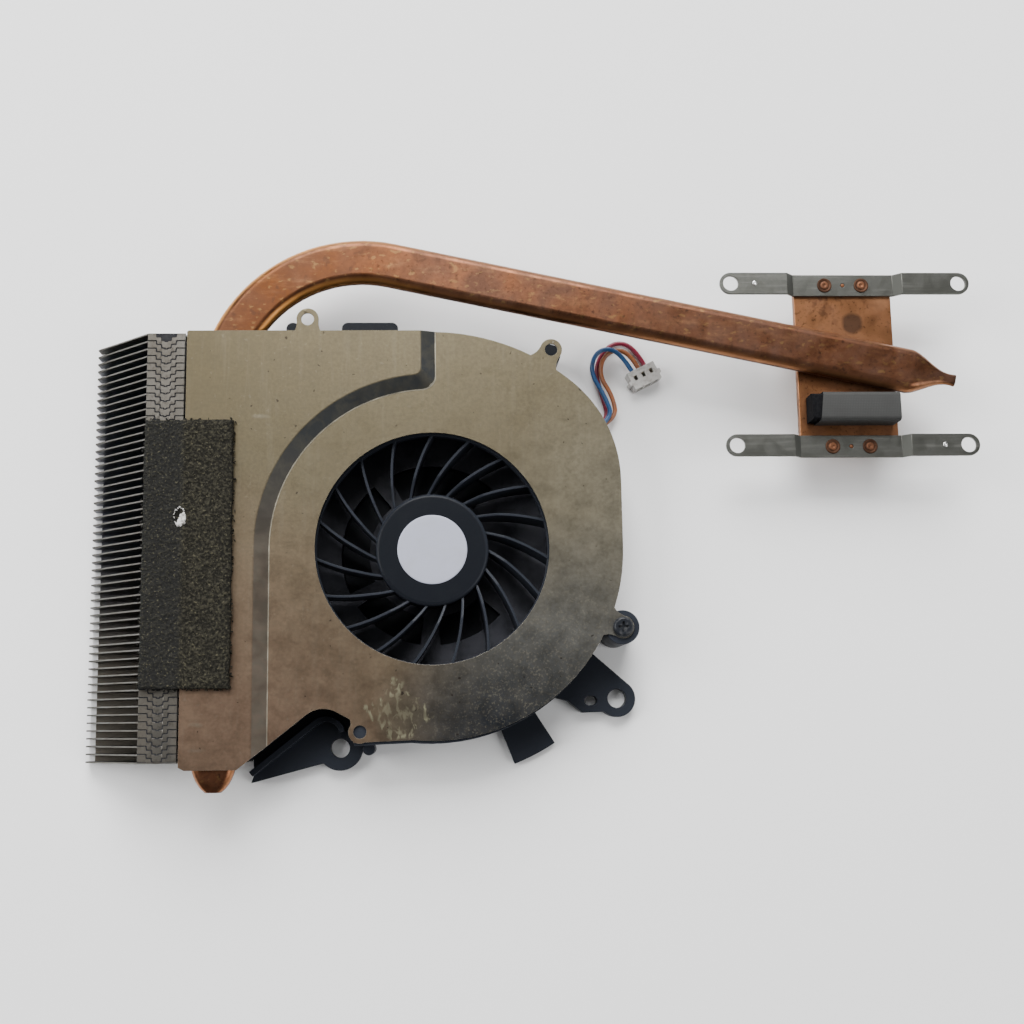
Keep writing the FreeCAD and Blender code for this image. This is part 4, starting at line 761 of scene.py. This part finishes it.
def bare_aluminium(name, colour, dusty):
    """Aluminium sheet as rolled, with a film of dust and small dark spots."""
    material = new_finish(name, colour, 0.9, 0.38)
    dust = mottling(material, scale=240.0, detail=6.0, low=0.35, high=0.65, stretch=(1.0, 0.4, 1.0))
    spots = mottling(material, scale=1500.0, detail=3.0, low=0.55, high=0.7)
    height, bright = drag_marks(material, across=(0.2, 1.0, 1.0), scale=900.0, low=0.5, high=0.7)
    tint = layered(material, colour, (
        (dust, 0.8, dusty),
        (spots, 0.5, tuple(channel * SPOT_SHADE for channel in dusty)),
        (bright, 0.2, tuple(channel * MARK_SHINE for channel in colour)),
    ))
    feed(material, base_color=tint, roughness=spread(material, dust, 0.34, 0.54))
    feed(material, normal=relief(material, height, 0.25, 0.02 * MM))
    return material, tint


def keep_node(node, material):
    """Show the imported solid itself, in its own finish."""
    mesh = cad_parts[node].data
    mesh.materials.clear()
    mesh.materials.append(material)


fin_metal, fin_colour = bare_aluminium("fin_metal", FIN_METAL, FIN_DUST)
dusty_tips = ramp(fin_metal, "X", FIN_TIP[0] + 3.5 * MM, FIN_TIP[0] + 0.8 * MM)
dusty_end = ramp(fin_metal, "Y", -34.0 * MM, -64.0 * MM)
# Painted shade between the fins, lighter and dustier towards one end.
feed(fin_metal, base_color=layered(fin_metal, fin_colour, (
    (dusty_tips, 1.0, FIN_TIP_DUST),
    (painted_gap_shade(fin_metal), 1.0, over(fin_metal, GAP_SHADE, dusty_end, GAP_SHADE_DUSTY)),
)))
keep_node("fin_stack", fin_metal)


# Zip row: the stamped lips of the fins, which hook into each other down the middle of the top
# strip. Each lip has two square shoulders and a lobe that steps down into the next lip.

FIN_PITCH = 1.625 * MM
FIN_FIRST = 6.1 * MM
FIN_COUNT = 56
FIN_LAST = FIN_FIRST - FIN_PITCH * (FIN_COUNT - 1)
ZIP_LEFT = -149.9 * MM
ZIP_TOP = 5.5 * MM
ZIP_WIDTH = 7.86 * MM
LIP_THICK = 0.10 * MM
LIP_CHAMFER = 0.035 * MM
LIP_GAP = 0.22 * MM
LIP_MIDDLE = 3.95
LIP_HOOK = (1.5, 6.4)
LIP_SEAM = (
    (0.06, 0.0), (1.74, 0.0), (1.86, 0.12), (1.90, 0.66), (2.02, 0.80), (2.80, 0.82), (2.92, 0.94),
    (2.96, 1.44), (3.10, 1.58), (3.62, 1.62), (3.74, 1.80), (4.16, 1.80), (4.28, 1.62), (4.80, 1.58),
    (4.94, 1.44), (4.98, 0.94), (5.10, 0.82), (5.88, 0.80), (6.00, 0.66), (6.04, 0.12), (6.16, 0.0),
    (7.84, 0.0),
)
LIP_SUNK = (2.9, 5.0)
LIP_DROP = 0.05 * MM
LIP_METAL = (0.120, 0.112, 0.098)
LIP_DUST = (0.078, 0.070, 0.058)
LIP_SHADOW = (0.006, 0.006, 0.008)
FOAM_SPAN = (-69.6 * MM, -11.6 * MM)

lip_metal = bare_aluminium("lip_metal", LIP_METAL, LIP_DUST)[0]
lip_shadow = new_finish("lip_shadow", LIP_SHADOW, 0.0, 0.9)
feed(lip_shadow, roughness=spread(lip_shadow, mottling(lip_shadow, scale=900.0), 0.8, 0.95))

form = bmesh.new()
for row_top, row_low in ((FIN_FIRST, FOAM_SPAN[1] - FIN_PITCH), (FOAM_SPAN[0] + FIN_PITCH, FIN_LAST)):
    bed = bmesh.ops.create_grid(form, x_segments=1, y_segments=1, size=0.5)["verts"]
    bmesh.ops.scale(form, vec=(ZIP_WIDTH, row_top - row_low, 1.0), verts=bed)
    bed_place = (ZIP_LEFT + LIP_MIDDLE * MM, (row_top + row_low) / 2, ZIP_TOP + 0.01 * MM)
    bmesh.ops.translate(form, vec=bed_place, verts=bed)
zip_bed = mesh_object("fin_zip_bed", form, lip_shadow)
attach(zip_bed, "cooler")


def lip_side(row, gap):
    """One edge of a lip along its row, drawn back from the next lip by half the gap."""
    points = []
    for across, depth in LIP_SEAM:
        hooked = LIP_HOOK[0] < across < LIP_HOOK[1]
        inward = gap / 2 * math.copysign(1.0, LIP_MIDDLE - across) if hooked else 0.0
        points.append((across * MM - inward, row - depth * MM - gap / 2))
    return points


form = bmesh.new()
for number in range(FIN_COUNT - 1):
    row = FIN_FIRST - FIN_PITCH * number
    if row < FOAM_SPAN[1] - 0.6 * FIN_PITCH and row - 2.2 * FIN_PITCH > FOAM_SPAN[0]:
        continue
    upper = lip_side(row, LIP_GAP)
    lower = lip_side(row - FIN_PITCH, -LIP_GAP)
    if number == FIN_COUNT - 2:
        lower = [(x, max(y, FIN_LAST)) for x, y in lower]
    outline = [form.verts.new((ZIP_LEFT + x, y, ZIP_TOP + 0.03 * MM)) for x, y in upper + lower[::-1]]
    plate = form.faces.new(outline)
    raised = bmesh.ops.extrude_face_region(form, geom=[plate])["geom"]
    lifted = [item for item in raised if isinstance(item, bmesh.types.BMVert)]
    bmesh.ops.translate(form, vec=(0.0, 0.0, LIP_THICK), verts=lifted)
    for vert in lifted:
        across = (vert.co.x - ZIP_LEFT) / MM
        if LIP_SUNK[0] < across < LIP_SUNK[1]:
            vert.co.z -= LIP_DROP
bmesh.ops.recalc_face_normals(form, faces=form.faces)
tops = [edge for edge in form.edges if all(vert.co.z > ZIP_TOP + 0.08 * MM for vert in edge.verts)]
soften(form, tops, LIP_CHAMFER, segments=1)
bmesh.ops.triangulate(form, faces=[face for face in form.faces if len(face.verts) > 4])
zip_lips = mesh_object("fin_zip_lips", form, lip_metal)
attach(zip_lips, "cooler")


# Case: moulded in glass-filled black plastic, with the scroll wall, the air windows in its
# floor and its lugs. A fine spark-eroded grain covers it, and dust lies on the floor. It is painted
# lighter towards -Y, as painted light on the lugs where the case shades them.

CASE_BLACK = (0.0085, 0.0098, 0.0125)
CASE_LIT = (0.0195, 0.0225, 0.0295)
CASE_LIT_SPAN = (4.0 * MM, -52.0 * MM)
FLOOR_DUST = (0.0900, 0.0920, 0.1080)
FLOOR_TOP = -6.6 * MM
FLOOR_RADIUS = 27.5 * MM
PLASTIC_GLOSS = 0.10
PLASTIC_DUST = (0.022, 0.023, 0.026)
PLASTIC_SPECKS = (0.045, 0.044, 0.042)


def black_plastic(name, colour, roughness, grain):
    """Moulded black plastic: a fine grain, thin dust and greasy handling marks."""
    material = new_finish(name, colour, 0.0, roughness, gloss=PLASTIC_GLOSS)
    dust = mottling(material, scale=260.0, detail=6.0, low=0.50, high=0.85)
    cells = mottling(material, scale=grain, detail=2.0, low=0.35, high=0.65)
    specks = mottling(material, scale=2100.0, detail=2.0, low=0.66, high=0.74)
    tint = layered(material, colour, ((dust, 0.4, PLASTIC_DUST), (specks, 0.22, PLASTIC_SPECKS)))
    feed(material, base_color=tint, roughness=spread(material, dust, roughness, roughness + 0.10))
    feed(material, normal=relief(material, cells, 0.18, 0.03 * MM))
    return material, tint


case_plastic, case_colour = black_plastic("case_plastic", CASE_BLACK, 0.38, 2600.0)
floor_place = (fan_centre.x, fan_centre.y, FLOOR_TOP)
floor_film = ramp(case_plastic, "Z", FLOOR_TOP + 2.5 * MM, FLOOR_TOP + 0.3 * MM)
for mask in (
    slopes(case_plastic, flat=0.5, lean=0.9, steep=0.4),
    mottling(case_plastic, scale=300.0, detail=6.0, low=0.05, high=0.55),
    patch(case_plastic, centre=floor_place, radius=FLOOR_RADIUS, ragged=0.0, soft=1.5 * MM),
):
    floor_film = both_masks(case_plastic, floor_film, mask)
# Painted light: the case grows lighter towards -Y, where it shades its own lugs.
feed(case_plastic, base_color=layered(case_plastic, case_colour, (
    (ramp(case_plastic, "Y", *CASE_LIT_SPAN), 1.0, CASE_LIT),
    (floor_film, 0.85, FLOOR_DUST),
)))
dressed("fan_housing", "cooler", case_plastic, bevel=0.12 * MM)


# Motor on its post: six wound steel poles on a bush that holds the shaft, over a small round
# circuit board. The hub hides nearly all of it.

STACK_STEEL = (0.42, 0.41, 0.40)
COIL_ENAMEL = (0.50, 0.17, 0.05)
COIL_SHADOW = (0.24, 0.07, 0.02)
BOARD_GREEN = (0.02, 0.11, 0.045)
BOARD_TRACKS = (0.05, 0.2, 0.08)
BUSH_BRONZE = (0.48, 0.30, 0.14)
THRUST_PLASTIC = (0.75, 0.72, 0.62)

stack_steel = new_finish("stack_steel", STACK_STEEL, 1.0, 0.4)
stack_height, stack_marks = drag_marks(stack_steel, across=(0.05, 0.05, 1.0), scale=2400.0)
feed(stack_steel, roughness=spread(stack_steel, stack_marks, 0.3, 0.5),
     normal=relief(stack_steel, stack_height, 0.5, 0.04 * MM))
keep_node("stator_core", stack_steel)

coil_enamel = new_finish("coil_enamel", COIL_ENAMEL, 0.6, 0.3)
coil_height, coil_marks = drag_marks(coil_enamel, across=(0.06, 1.0, 1.0), scale=2600.0)
feed(coil_enamel, base_color=over(coil_enamel, COIL_ENAMEL, coil_marks, COIL_SHADOW),
     normal=relief(coil_enamel, coil_height, 0.8, 0.08 * MM))
dressed("stator_coils", "cooler", coil_enamel, bevel=0.3 * MM)

board_green = new_finish("board_green", BOARD_GREEN, 0.0, 0.35)
tracks = mottling(board_green, scale=650.0, detail=0.0, low=0.55, high=0.57)
feed(board_green, base_color=over(board_green, BOARD_GREEN, tracks, BOARD_TRACKS))
dressed("motor_board", "cooler", board_green, bevel=0.05 * MM)


def plain_part(node, body, finish, colour, metallic, roughness, scale, bevel):
    """A hidden part in one colour, whose roughness alone wanders between two ends."""
    material = new_finish(finish, colour, metallic, roughness[0])
    feed(material, roughness=spread(material, mottling(material, scale=scale), *roughness))
    dressed(node, body, material, bevel)


plain_part("motor_bearing", "cooler", "bush_bronze", BUSH_BRONZE, metallic=1.0,
           roughness=(0.4, 0.65), scale=2500.0, bevel=0.04 * MM)
plain_part("thrust_plate", "cooler", "thrust_disc", THRUST_PLASTIC, metallic=0.0,
           roughness=(0.25, 0.4), scale=1200.0, bevel=0.04 * MM)


# Impeller: hub cup, nineteen bowed blades and the ring that ties them, moulded together in
# black plastic that is smoother than the case. Its steel cup, magnet and shaft turn with it. The
# top of the hub is painted darker than the blades, as painted shade.

BLADE_BLACK = (0.0190, 0.0220, 0.0290)
HUB_SHADE_BLACK = (0.0068, 0.0080, 0.0108)
HUB_RADIUS = 11.9 * MM
YOKE_STEEL = (0.45, 0.44, 0.43)
MAGNET_BLACK = (0.05, 0.045, 0.045)
SHAFT_STEEL = (0.62, 0.62, 0.61)

impeller_plastic, blade_colour = black_plastic("impeller_plastic", BLADE_BLACK, 0.34, 3200.0)
hub_place = (fan_centre.x, fan_centre.y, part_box("impeller")[1].z)
# Painted shade: the top of the hub is darker than the blades.
painted_hub_shade = patch(impeller_plastic, centre=hub_place, radius=HUB_RADIUS, ragged=0.0, soft=0.6 * MM)
feed(impeller_plastic, base_color=over(impeller_plastic, blade_colour, painted_hub_shade, HUB_SHADE_BLACK))
dressed("impeller", "rotor", impeller_plastic, bevel=0.10 * MM)
plain_part("rotor_yoke", "rotor", "yoke_steel", YOKE_STEEL, metallic=1.0,
           roughness=(0.28, 0.45), scale=700.0, bevel=0.08 * MM)
plain_part("rotor_magnet", "rotor", "magnet_black", MAGNET_BLACK, metallic=0.0,
           roughness=(0.5, 0.75), scale=1800.0, bevel=0.08 * MM)
plain_part("motor_shaft", "rotor", "shaft_steel", SHAFT_STEEL, metallic=1.0,
           roughness=(0.1, 0.22), scale=1500.0, bevel=0.05 * MM)


# Hub label: a round paper sticker with a thin clear film, in a shallow place on the hub. It is
# left blank and has gone a little grey.

LABEL_RINGS = ((0.0, 0.115), (2.5, 0.118), (5.0, 0.116), (6.9, 0.11), (7.25, 0.095), (7.35, 0.06),
               (7.35, 0.0))
LABEL_WHITE = (0.355, 0.370, 0.445)
LABEL_GRIME = (0.26, 0.26, 0.29)

label_paper = new_finish("label_paper", LABEL_WHITE, 0.0, 0.4)
label_grime = mottling(label_paper, scale=240.0, detail=5.0, low=0.45, high=0.8)
label_creases = mottling(label_paper, scale=120.0, detail=2.0, low=0.3, high=0.7)
feed(label_paper, base_color=layered(label_paper, LABEL_WHITE, ((label_grime, 0.35, LABEL_GRIME),)),
     roughness=spread(label_paper, label_grime, 0.3, 0.5),
     normal=relief(label_paper, label_creases, 0.3, 0.1 * MM))
low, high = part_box("hub_label")
hub_centre = (low + high) / 2
form = bmesh.new()
turned(form, LABEL_RINGS, (hub_centre.x, hub_centre.y, low.z), steps=96)
bmesh.ops.holes_fill(form, edges=form.edges, sides=0)
bmesh.ops.recalc_face_normals(form, faces=form.faces)
for face in form.faces:
    face.smooth = abs(face.normal.z) < 0.999 or len(face.verts) < 9
label = mesh_object("hub_sticker", form, label_paper)
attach(label, "rotor")
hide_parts("hub_label")


# Cover: one sheet of steel, pressed with a raised area whose edge has painted shade on its side
# and a painted highlight along its foot. The plating has gone warm and mottled, redder at the lower
# left and grey at the lower right, with one corroded patch below the inlet. Painted shade darkens
# the top left, painted light brightens the right, a painted dark reflection lies at the lower right
# and painted highlights run along the rims.

PLATED_OLIVE = (0.152, 0.129, 0.082)
PLATED_SHADE = (0.106, 0.088, 0.052)
PLATED_CLOUDS = (0.095, 0.079, 0.050)
PLATED_LIGHT = (0.215, 0.195, 0.143)
PLATED_RED = (0.212, 0.138, 0.095)
PLATED_GREY = (0.135, 0.139, 0.136)
PLATED_DARK_REFLECTION = (0.027, 0.032, 0.041)
PLATED_WORN = (0.235, 0.215, 0.165)
PLATED_FILM = (0.060, 0.052, 0.040)
PLATED_GRAIN = (0.066, 0.056, 0.040)
PLATED_PITS = (0.030, 0.024, 0.020)
PLATED_RIM_HIGHLIGHT = (0.520, 0.490, 0.400)
STEP_GREY = (0.070, 0.077, 0.084)
STEP_DEEP = (0.042, 0.047, 0.051)
STEP_WARM = (0.132, 0.110, 0.088)
STEP_PALE = (0.108, 0.104, 0.086)
STEP_GLINT = (0.500, 0.465, 0.370)
CRUST_DULL = (0.120, 0.103, 0.068)
CRUST_PALE = (0.300, 0.285, 0.190)
PATCH_PLACE = (-97.0, -73.4, 5.0)
SMEAR_PLACES = ((-138.0, -75.9, 6.0), (-138.0, -81.0, 6.0), (-126.0, -12.0, 6.0))
STEP_HEIGHT = 1.0 * MM
STEP_FOOT = (0.6, 0.8)
STEP_WARM_SPAN = (-16.0 * MM, -46.0 * MM)
STEP_EDGE_ROUND = 0.45 * MM
COVER_RIM_ROUND = 0.14 * MM
# Of these sides, the deep one at the top left is painted shade, the bright one at the right is painted
# light and the dark blue one at the lower right is a painted dark reflection; the red and grey ones are the
# plating's own tone.
SIDE_PLACES = {
    "deep": ((-152.0, 12.0, 5.5), 62.0, 6.0, 44.0, 60.0),
    "bright": ((-46.0, -32.0, 5.5), 34.0, 4.0, 28.0, 70.0),
    "red": ((-142.0, -92.0, 5.5), 76.0, 10.0, 48.0, 60.0),
    "grey": ((-62.0, -72.0, 5.5), 44.0, 9.0, 24.0, 90.0),
    "dark_reflection": ((-75.0, -83.0, 5.5), 33.0, 8.0, 21.0, 110.0),
}


def blotch(place, radius, ragged, soft, scale, squash=(1.0, 1.0, 1.0)):
    """A patch on the cover, with its place and sizes in mm."""
    return patch(plated_steel, centre=[side * MM for side in place], radius=radius * MM, ragged=ragged * MM,
                 soft=soft * MM, scale=scale, squash=squash)


plated_steel = new_finish("plated_steel", PLATED_OLIVE, 1.0, 0.42)
sides = {name: blotch(*values) for name, values in SIDE_PLACES.items()}
smears = [blotch(place, 1.5, 1.2, 1.0, 700.0, (0.42, 1.6, 1.0)) for place in SMEAR_PLACES]
broad = mottling(plated_steel, scale=24.0, detail=3.0, distortion=0.4, low=0.30, high=0.75)
grain = mottling(plated_steel, scale=1500.0, detail=4.0, distortion=0.0, low=0.34, high=0.66)
film = mottling(plated_steel, scale=260.0, detail=7.0, distortion=0.2, low=0.36, high=0.70)
pits = mottling(plated_steel, scale=760.0, detail=1.0, low=0.75, high=0.79)
flecks = mottling(plated_steel, scale=980.0, detail=2.0, low=0.66, high=0.72)
worn_specks = mottling(plated_steel, scale=2300.0, detail=4.0, low=0.55, high=0.66)
rolled_height, rolled_marks = drag_marks(plated_steel, across=(1.0, 0.06, 1.0), scale=700.0,
                                         low=0.52, high=0.80)
corroded = blotch(PATCH_PLACE, 11.6, 10.5, 1.9, 210.0, (1.0, 1.15, 1.0))
crust = mottling(plated_steel, scale=760.0, detail=6.0, distortion=0.5, low=0.50, high=0.60,
                 stretch=(1.4, 0.7, 1.0))
patch_rim = worked(plated_steel.node_tree, "PINGPONG", corroded, 0.5)

# Painted shade on the sides of the step, mottled.
shaded_step_sides = slopes(plated_steel, flat=0.997, lean=0.957, steep=0.85)
step_mottling = mottling(plated_steel, scale=420.0, detail=5.0, distortion=0.6, low=0.42, high=0.66)
step_shade_colour = layered(plated_steel, STEP_GREY, (
    (film, 1.0, STEP_DEEP),
    (ramp(plated_steel, "Y", *STEP_WARM_SPAN), 1.0, STEP_WARM),
    (step_mottling, 0.55, STEP_PALE),
))
# Painted highlight: a thin glint along the foot of the step, broken up by the mottling.
roof_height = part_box("fan_cover")[1].z
painted_step_glint = ramp(plated_steel, "Z", *(roof_height - STEP_HEIGHT * share for share in STEP_FOOT))
painted_step_glint = both_masks(plated_steel, painted_step_glint, slopes(plated_steel, flat=0.9995, lean=0.992, steep=0.972))
painted_step_glint = both_masks(plated_steel, painted_step_glint, spread(plated_steel, step_mottling, 0.65, 1.0))
# Painted highlights on the steep rims of the sheet.
painted_rim_highlights = slopes(plated_steel, flat=0.84, lean=0.75, steep=0.15)

plated = layered(plated_steel, PLATED_OLIVE, (
    (sides["deep"], 1.0, PLATED_SHADE),
    (broad, 0.22, PLATED_CLOUDS),
    (sides["bright"], 1.0, PLATED_LIGHT),
    (sides["red"], 0.95, PLATED_RED),
    (sides["grey"], 0.85, PLATED_GREY),
    (sides["dark_reflection"], 0.96, PLATED_DARK_REFLECTION),
    *((smear, 0.45, PLATED_WORN) for smear in smears),
    (film, 0.22, PLATED_FILM),
    (grain, 0.30, PLATED_GRAIN),
    (rolled_marks, 0.16, PLATED_WORN),
    (flecks, 0.14, PLATED_WORN),
    (corroded, 0.35, CRUST_DULL),
    (both_masks(plated_steel, corroded, crust), 0.40, CRUST_PALE),
    (both_masks(plated_steel, sides["grey"], worn_specks), 0.36, PLATED_WORN),
    (both_masks(plated_steel, patch_rim, crust), 1.9, CRUST_PALE),
    (pits, 0.8, PLATED_PITS),
    (shaded_step_sides, 0.88, step_shade_colour),
    (painted_step_glint, 0.80, STEP_GLINT),
    (painted_rim_highlights, 0.8, PLATED_RIM_HIGHLIGHT),
))
grain_relief = relief(plated_steel, grain, 0.20, 0.02 * MM)
feed(plated_steel, base_color=plated, roughness=spread(plated_steel, film, 0.36, 0.48),
     normal=relief(plated_steel, rolled_height, 0.16, 0.02 * MM, grain_relief))

form = merged_copy("fan_cover")
form.normal_update()
step_edges = []
for edge in form.edges:
    if edge.is_manifold and math.radians(8.0) < edge.calc_face_angle(0.0) < math.radians(40.0):
        if all(abs(face.normal.z) > 0.8 for face in edge.link_faces):
            step_edges.append(edge)
soften(form, step_edges, STEP_EDGE_ROUND, segments=3, clamp=True)
form.normal_update()
rims = [edge for edge in form.edges if edge.is_manifold and edge.calc_face_angle(0.0) > math.radians(50.0)]
soften(form, rims, COVER_RIM_ROUND, clamp=True)
shade_smooth(form, 34.0)
stand_in("fan_cover", "fan_cover_sheet", form, plated_steel, "cooler")


# Case screw: a small black machine screw with a domed head and a cross recess, through the
# cover's ear into the boss below.

SCREW_BLACK = (0.012, 0.0135, 0.017)
SCREW_WORN = (0.035, 0.036, 0.038)

screw_black = worn_finish("screw_black", SCREW_BLACK, SCREW_WORN, 0.0, (0.28, 0.5), gloss=0.22,
                          scale=1300.0, detail=4.0, low=0.5, high=0.7)
dressed("housing_screw", "cooler", screw_black, bevel=0.08 * MM)


# Foam strip: open-cell foam, dark and dusty, stuck over the pipe along the cover's left edge to
# seal against the laptop's case. Its cut edges are ragged and one small place is torn.

FOAM_DARK = (0.0075, 0.0070, 0.0052)
FOAM_LIGHT = (0.040, 0.0370, 0.0255)
FOAM_CLOUDS = (0.0085, 0.0078, 0.0060)
FOAM_GREY = (0.0125, 0.0130, 0.0135)
FOAM_DUST = (0.105, 0.096, 0.060)
TORN_FOAM = (0.50, 0.49, 0.47)
TORN_SHADOW = (0.20, 0.19, 0.17)
FOAM_GREY_SPAN = (-141.0 * MM, -142.2 * MM)
FOAM_SIDE_DROPS = (0.30, 0.45, 0.55, 0.50)
COVER_TOP = 6.0 * MM
COVER_EDGE = -141.6 * MM
TEAR_PLACE = (-142.0 * MM, -33.5 * MM)
TEAR_REACH = (1.25 * MM, 2.0 * MM)
TEAR_DEPTH = 0.6 * MM
FOAM_SEED = 7
EDGE_WANDER = 0.16
TUFT_COUNT = 420
TUFT_SIZE = (0.10 * MM, 0.24 * MM)
TUFT_INSET = -0.12 * MM
TUFT_REACH = 0.22 * MM
TEAR_SHREDS = 110
TEAR_FLAP = (-1.9, 0.5)

foam_cells = new_finish("foam_cells", FOAM_DARK, 0.0, 0.97, gloss=0.2)
cells = mottling(foam_cells, scale=1800.0, detail=4.0, low=0.42, high=0.66)
cell_dust = mottling(foam_cells, scale=2300.0, detail=2.0, low=0.61, high=0.70)
cell_clouds = mottling(foam_cells, scale=150.0, detail=5.0, low=0.35, high=0.7)
foam_colour = layered(foam_cells, FOAM_DARK, (
    (cells, 1.0, FOAM_LIGHT),
    (cell_clouds, 0.22, FOAM_CLOUDS),
    (ramp(foam_cells, "X", *FOAM_GREY_SPAN), 0.6, FOAM_GREY),
    (cell_dust, 0.55, FOAM_DUST),
))
feed(foam_cells, base_color=foam_colour, normal=relief(foam_cells, cells, 1.0, 0.22 * MM))
foam_torn = worn_finish("foam_torn", TORN_FOAM, TORN_SHADOW, 0.0, (0.8, 0.98),
                        scale=1400.0, detail=3.0, low=0.5, high=0.7)

low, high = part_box("foam_pad")
low.x = min(low.x, ZIP_LEFT + 0.1 * MM)
width, length = high.x - low.x, high.y - low.y
middle = (low + high) / 2
form = bmesh.new()
bmesh.ops.create_grid(form, x_segments=62, y_segments=190, size=0.5)
bmesh.ops.scale(form, vec=(width, length, 1.0), verts=form.verts)
bmesh.ops.translate(form, vec=(middle.x, middle.y, high.z), verts=form.verts)
rim_edges = [edge for edge in form.edges if edge.is_boundary]
for drop in FOAM_SIDE_DROPS:
    lowered = bmesh.ops.extrude_edge_only(form, edges=rim_edges)["geom"]
    below = [item for item in lowered if isinstance(item, bmesh.types.BMVert)]
    bmesh.ops.translate(form, vec=(0.0, 0.0, -drop * MM), verts=below)
    rim_edges = [item for item in lowered if isinstance(item, bmesh.types.BMEdge) and item.is_boundary]
for vert in {vert for edge in rim_edges for vert in edge.verts}:
    vert.co.z = COVER_TOP + 0.01 * MM if vert.co.x > COVER_EDGE else low.z + 0.01 * MM
bmesh.ops.holes_fill(form, edges=rim_edges, sides=0)
noise.seed_set(FOAM_SEED)
for vert in form.verts:
    edge_distance = min(vert.co.x - low.x, high.x - vert.co.x, vert.co.y - low.y, high.y - vert.co.y)
    if vert.co.z > COVER_TOP + 0.3 * MM:
        rough = noise.noise(vert.co * 2100.0) * 0.20 + noise.noise(vert.co * 700.0) * 0.12
        settle = 0.35 * max(0.0, 1.0 - edge_distance / (1.2 * MM)) ** 2
        sunk = 0.22 * min(1.0, max(0.0, (COVER_EDGE + 0.3 * MM - vert.co.x) / (0.8 * MM)))
        vert.co.z += (rough - settle - sunk - 0.22) * MM
    if edge_distance < 0.05 * MM:
        ragged = noise.noise_vector(Vector((vert.co.x, vert.co.y, 0.0)) * 420.0)
        vert.co.x += (EDGE_WANDER * ragged.x - math.copysign(EDGE_WANDER, vert.co.x - middle.x)) * MM
        vert.co.y += (EDGE_WANDER * ragged.y - math.copysign(EDGE_WANDER, vert.co.y - middle.y)) * MM
    across = (vert.co.x - TEAR_PLACE[0]) / TEAR_REACH[0]
    along = (vert.co.y - TEAR_PLACE[1]) / TEAR_REACH[1]
    if vert.co.z > COVER_TOP + 0.3 * MM:
        vert.co.z -= TEAR_DEPTH * max(0.0, 1.0 - across * across - along * along)

shreds = random.Random(FOAM_SEED)


def shred(form, place, size):
    """One torn bit of foam: a small lumpy ball, stretched and turned at random."""
    bit = bmesh.ops.create_icosphere(form, subdivisions=1, radius=size)["verts"]
    stretch = (shreds.uniform(0.7, 2.0), shreds.uniform(0.6, 1.4), shreds.uniform(0.4, 0.8))
    bmesh.ops.scale(form, vec=stretch, verts=bit)
    turn = Matrix.Rotation(shreds.uniform(0, math.tau), 3, "Z")
    bmesh.ops.rotate(form, cent=(0, 0, 0), matrix=turn, verts=bit)
    bmesh.ops.translate(form, vec=place, verts=bit)


for number in range(TUFT_COUNT):
    along = shreds.uniform(0.0, 2.0 * (width + length))
    out = shreds.gauss(TUFT_INSET, TUFT_REACH)
    if along < 2.0 * length:
        spot = [low.x - out if number % 2 else high.x + out, low.y + along / 2]
    else:
        along = (along - 2.0 * length) / 2
        spot = [low.x + along, low.y - out if number % 2 else high.y + out]
    floor = COVER_TOP if spot[0] > COVER_EDGE else ZIP_TOP
    height = shreds.uniform(floor + 0.2 * MM, high.z - 0.45 * MM)
    shred(form, (*spot, height), shreds.uniform(*TUFT_SIZE))
bmesh.ops.recalc_face_normals(form, faces=form.faces)
shade_smooth(form)
foam = mesh_object("foam_strip", form, foam_cells)
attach(foam, "cooler")
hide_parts("foam_pad")

form = bmesh.new()
for number in range(TEAR_SHREDS):
    flap = number % 3 > 0
    turn = shreds.uniform(*TEAR_FLAP) if flap else shreds.uniform(0.0, math.tau)
    reach = shreds.uniform(0.25, 0.9) if flap else shreds.uniform(0.85, 1.0)
    spot = (
        TEAR_PLACE[0] + math.cos(turn) * reach * TEAR_REACH[0],
        TEAR_PLACE[1] + math.sin(turn) * reach * TEAR_REACH[1],
        high.z - (0.55 - 0.25 * reach) * MM,
    )
    shred(form, spot, shreds.uniform(0.20, 0.36) * MM if flap else shreds.uniform(0.09, 0.17) * MM)
shade_smooth(form)
tear = mesh_object("foam_tear", form, foam_torn)
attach(tear, "cooler")
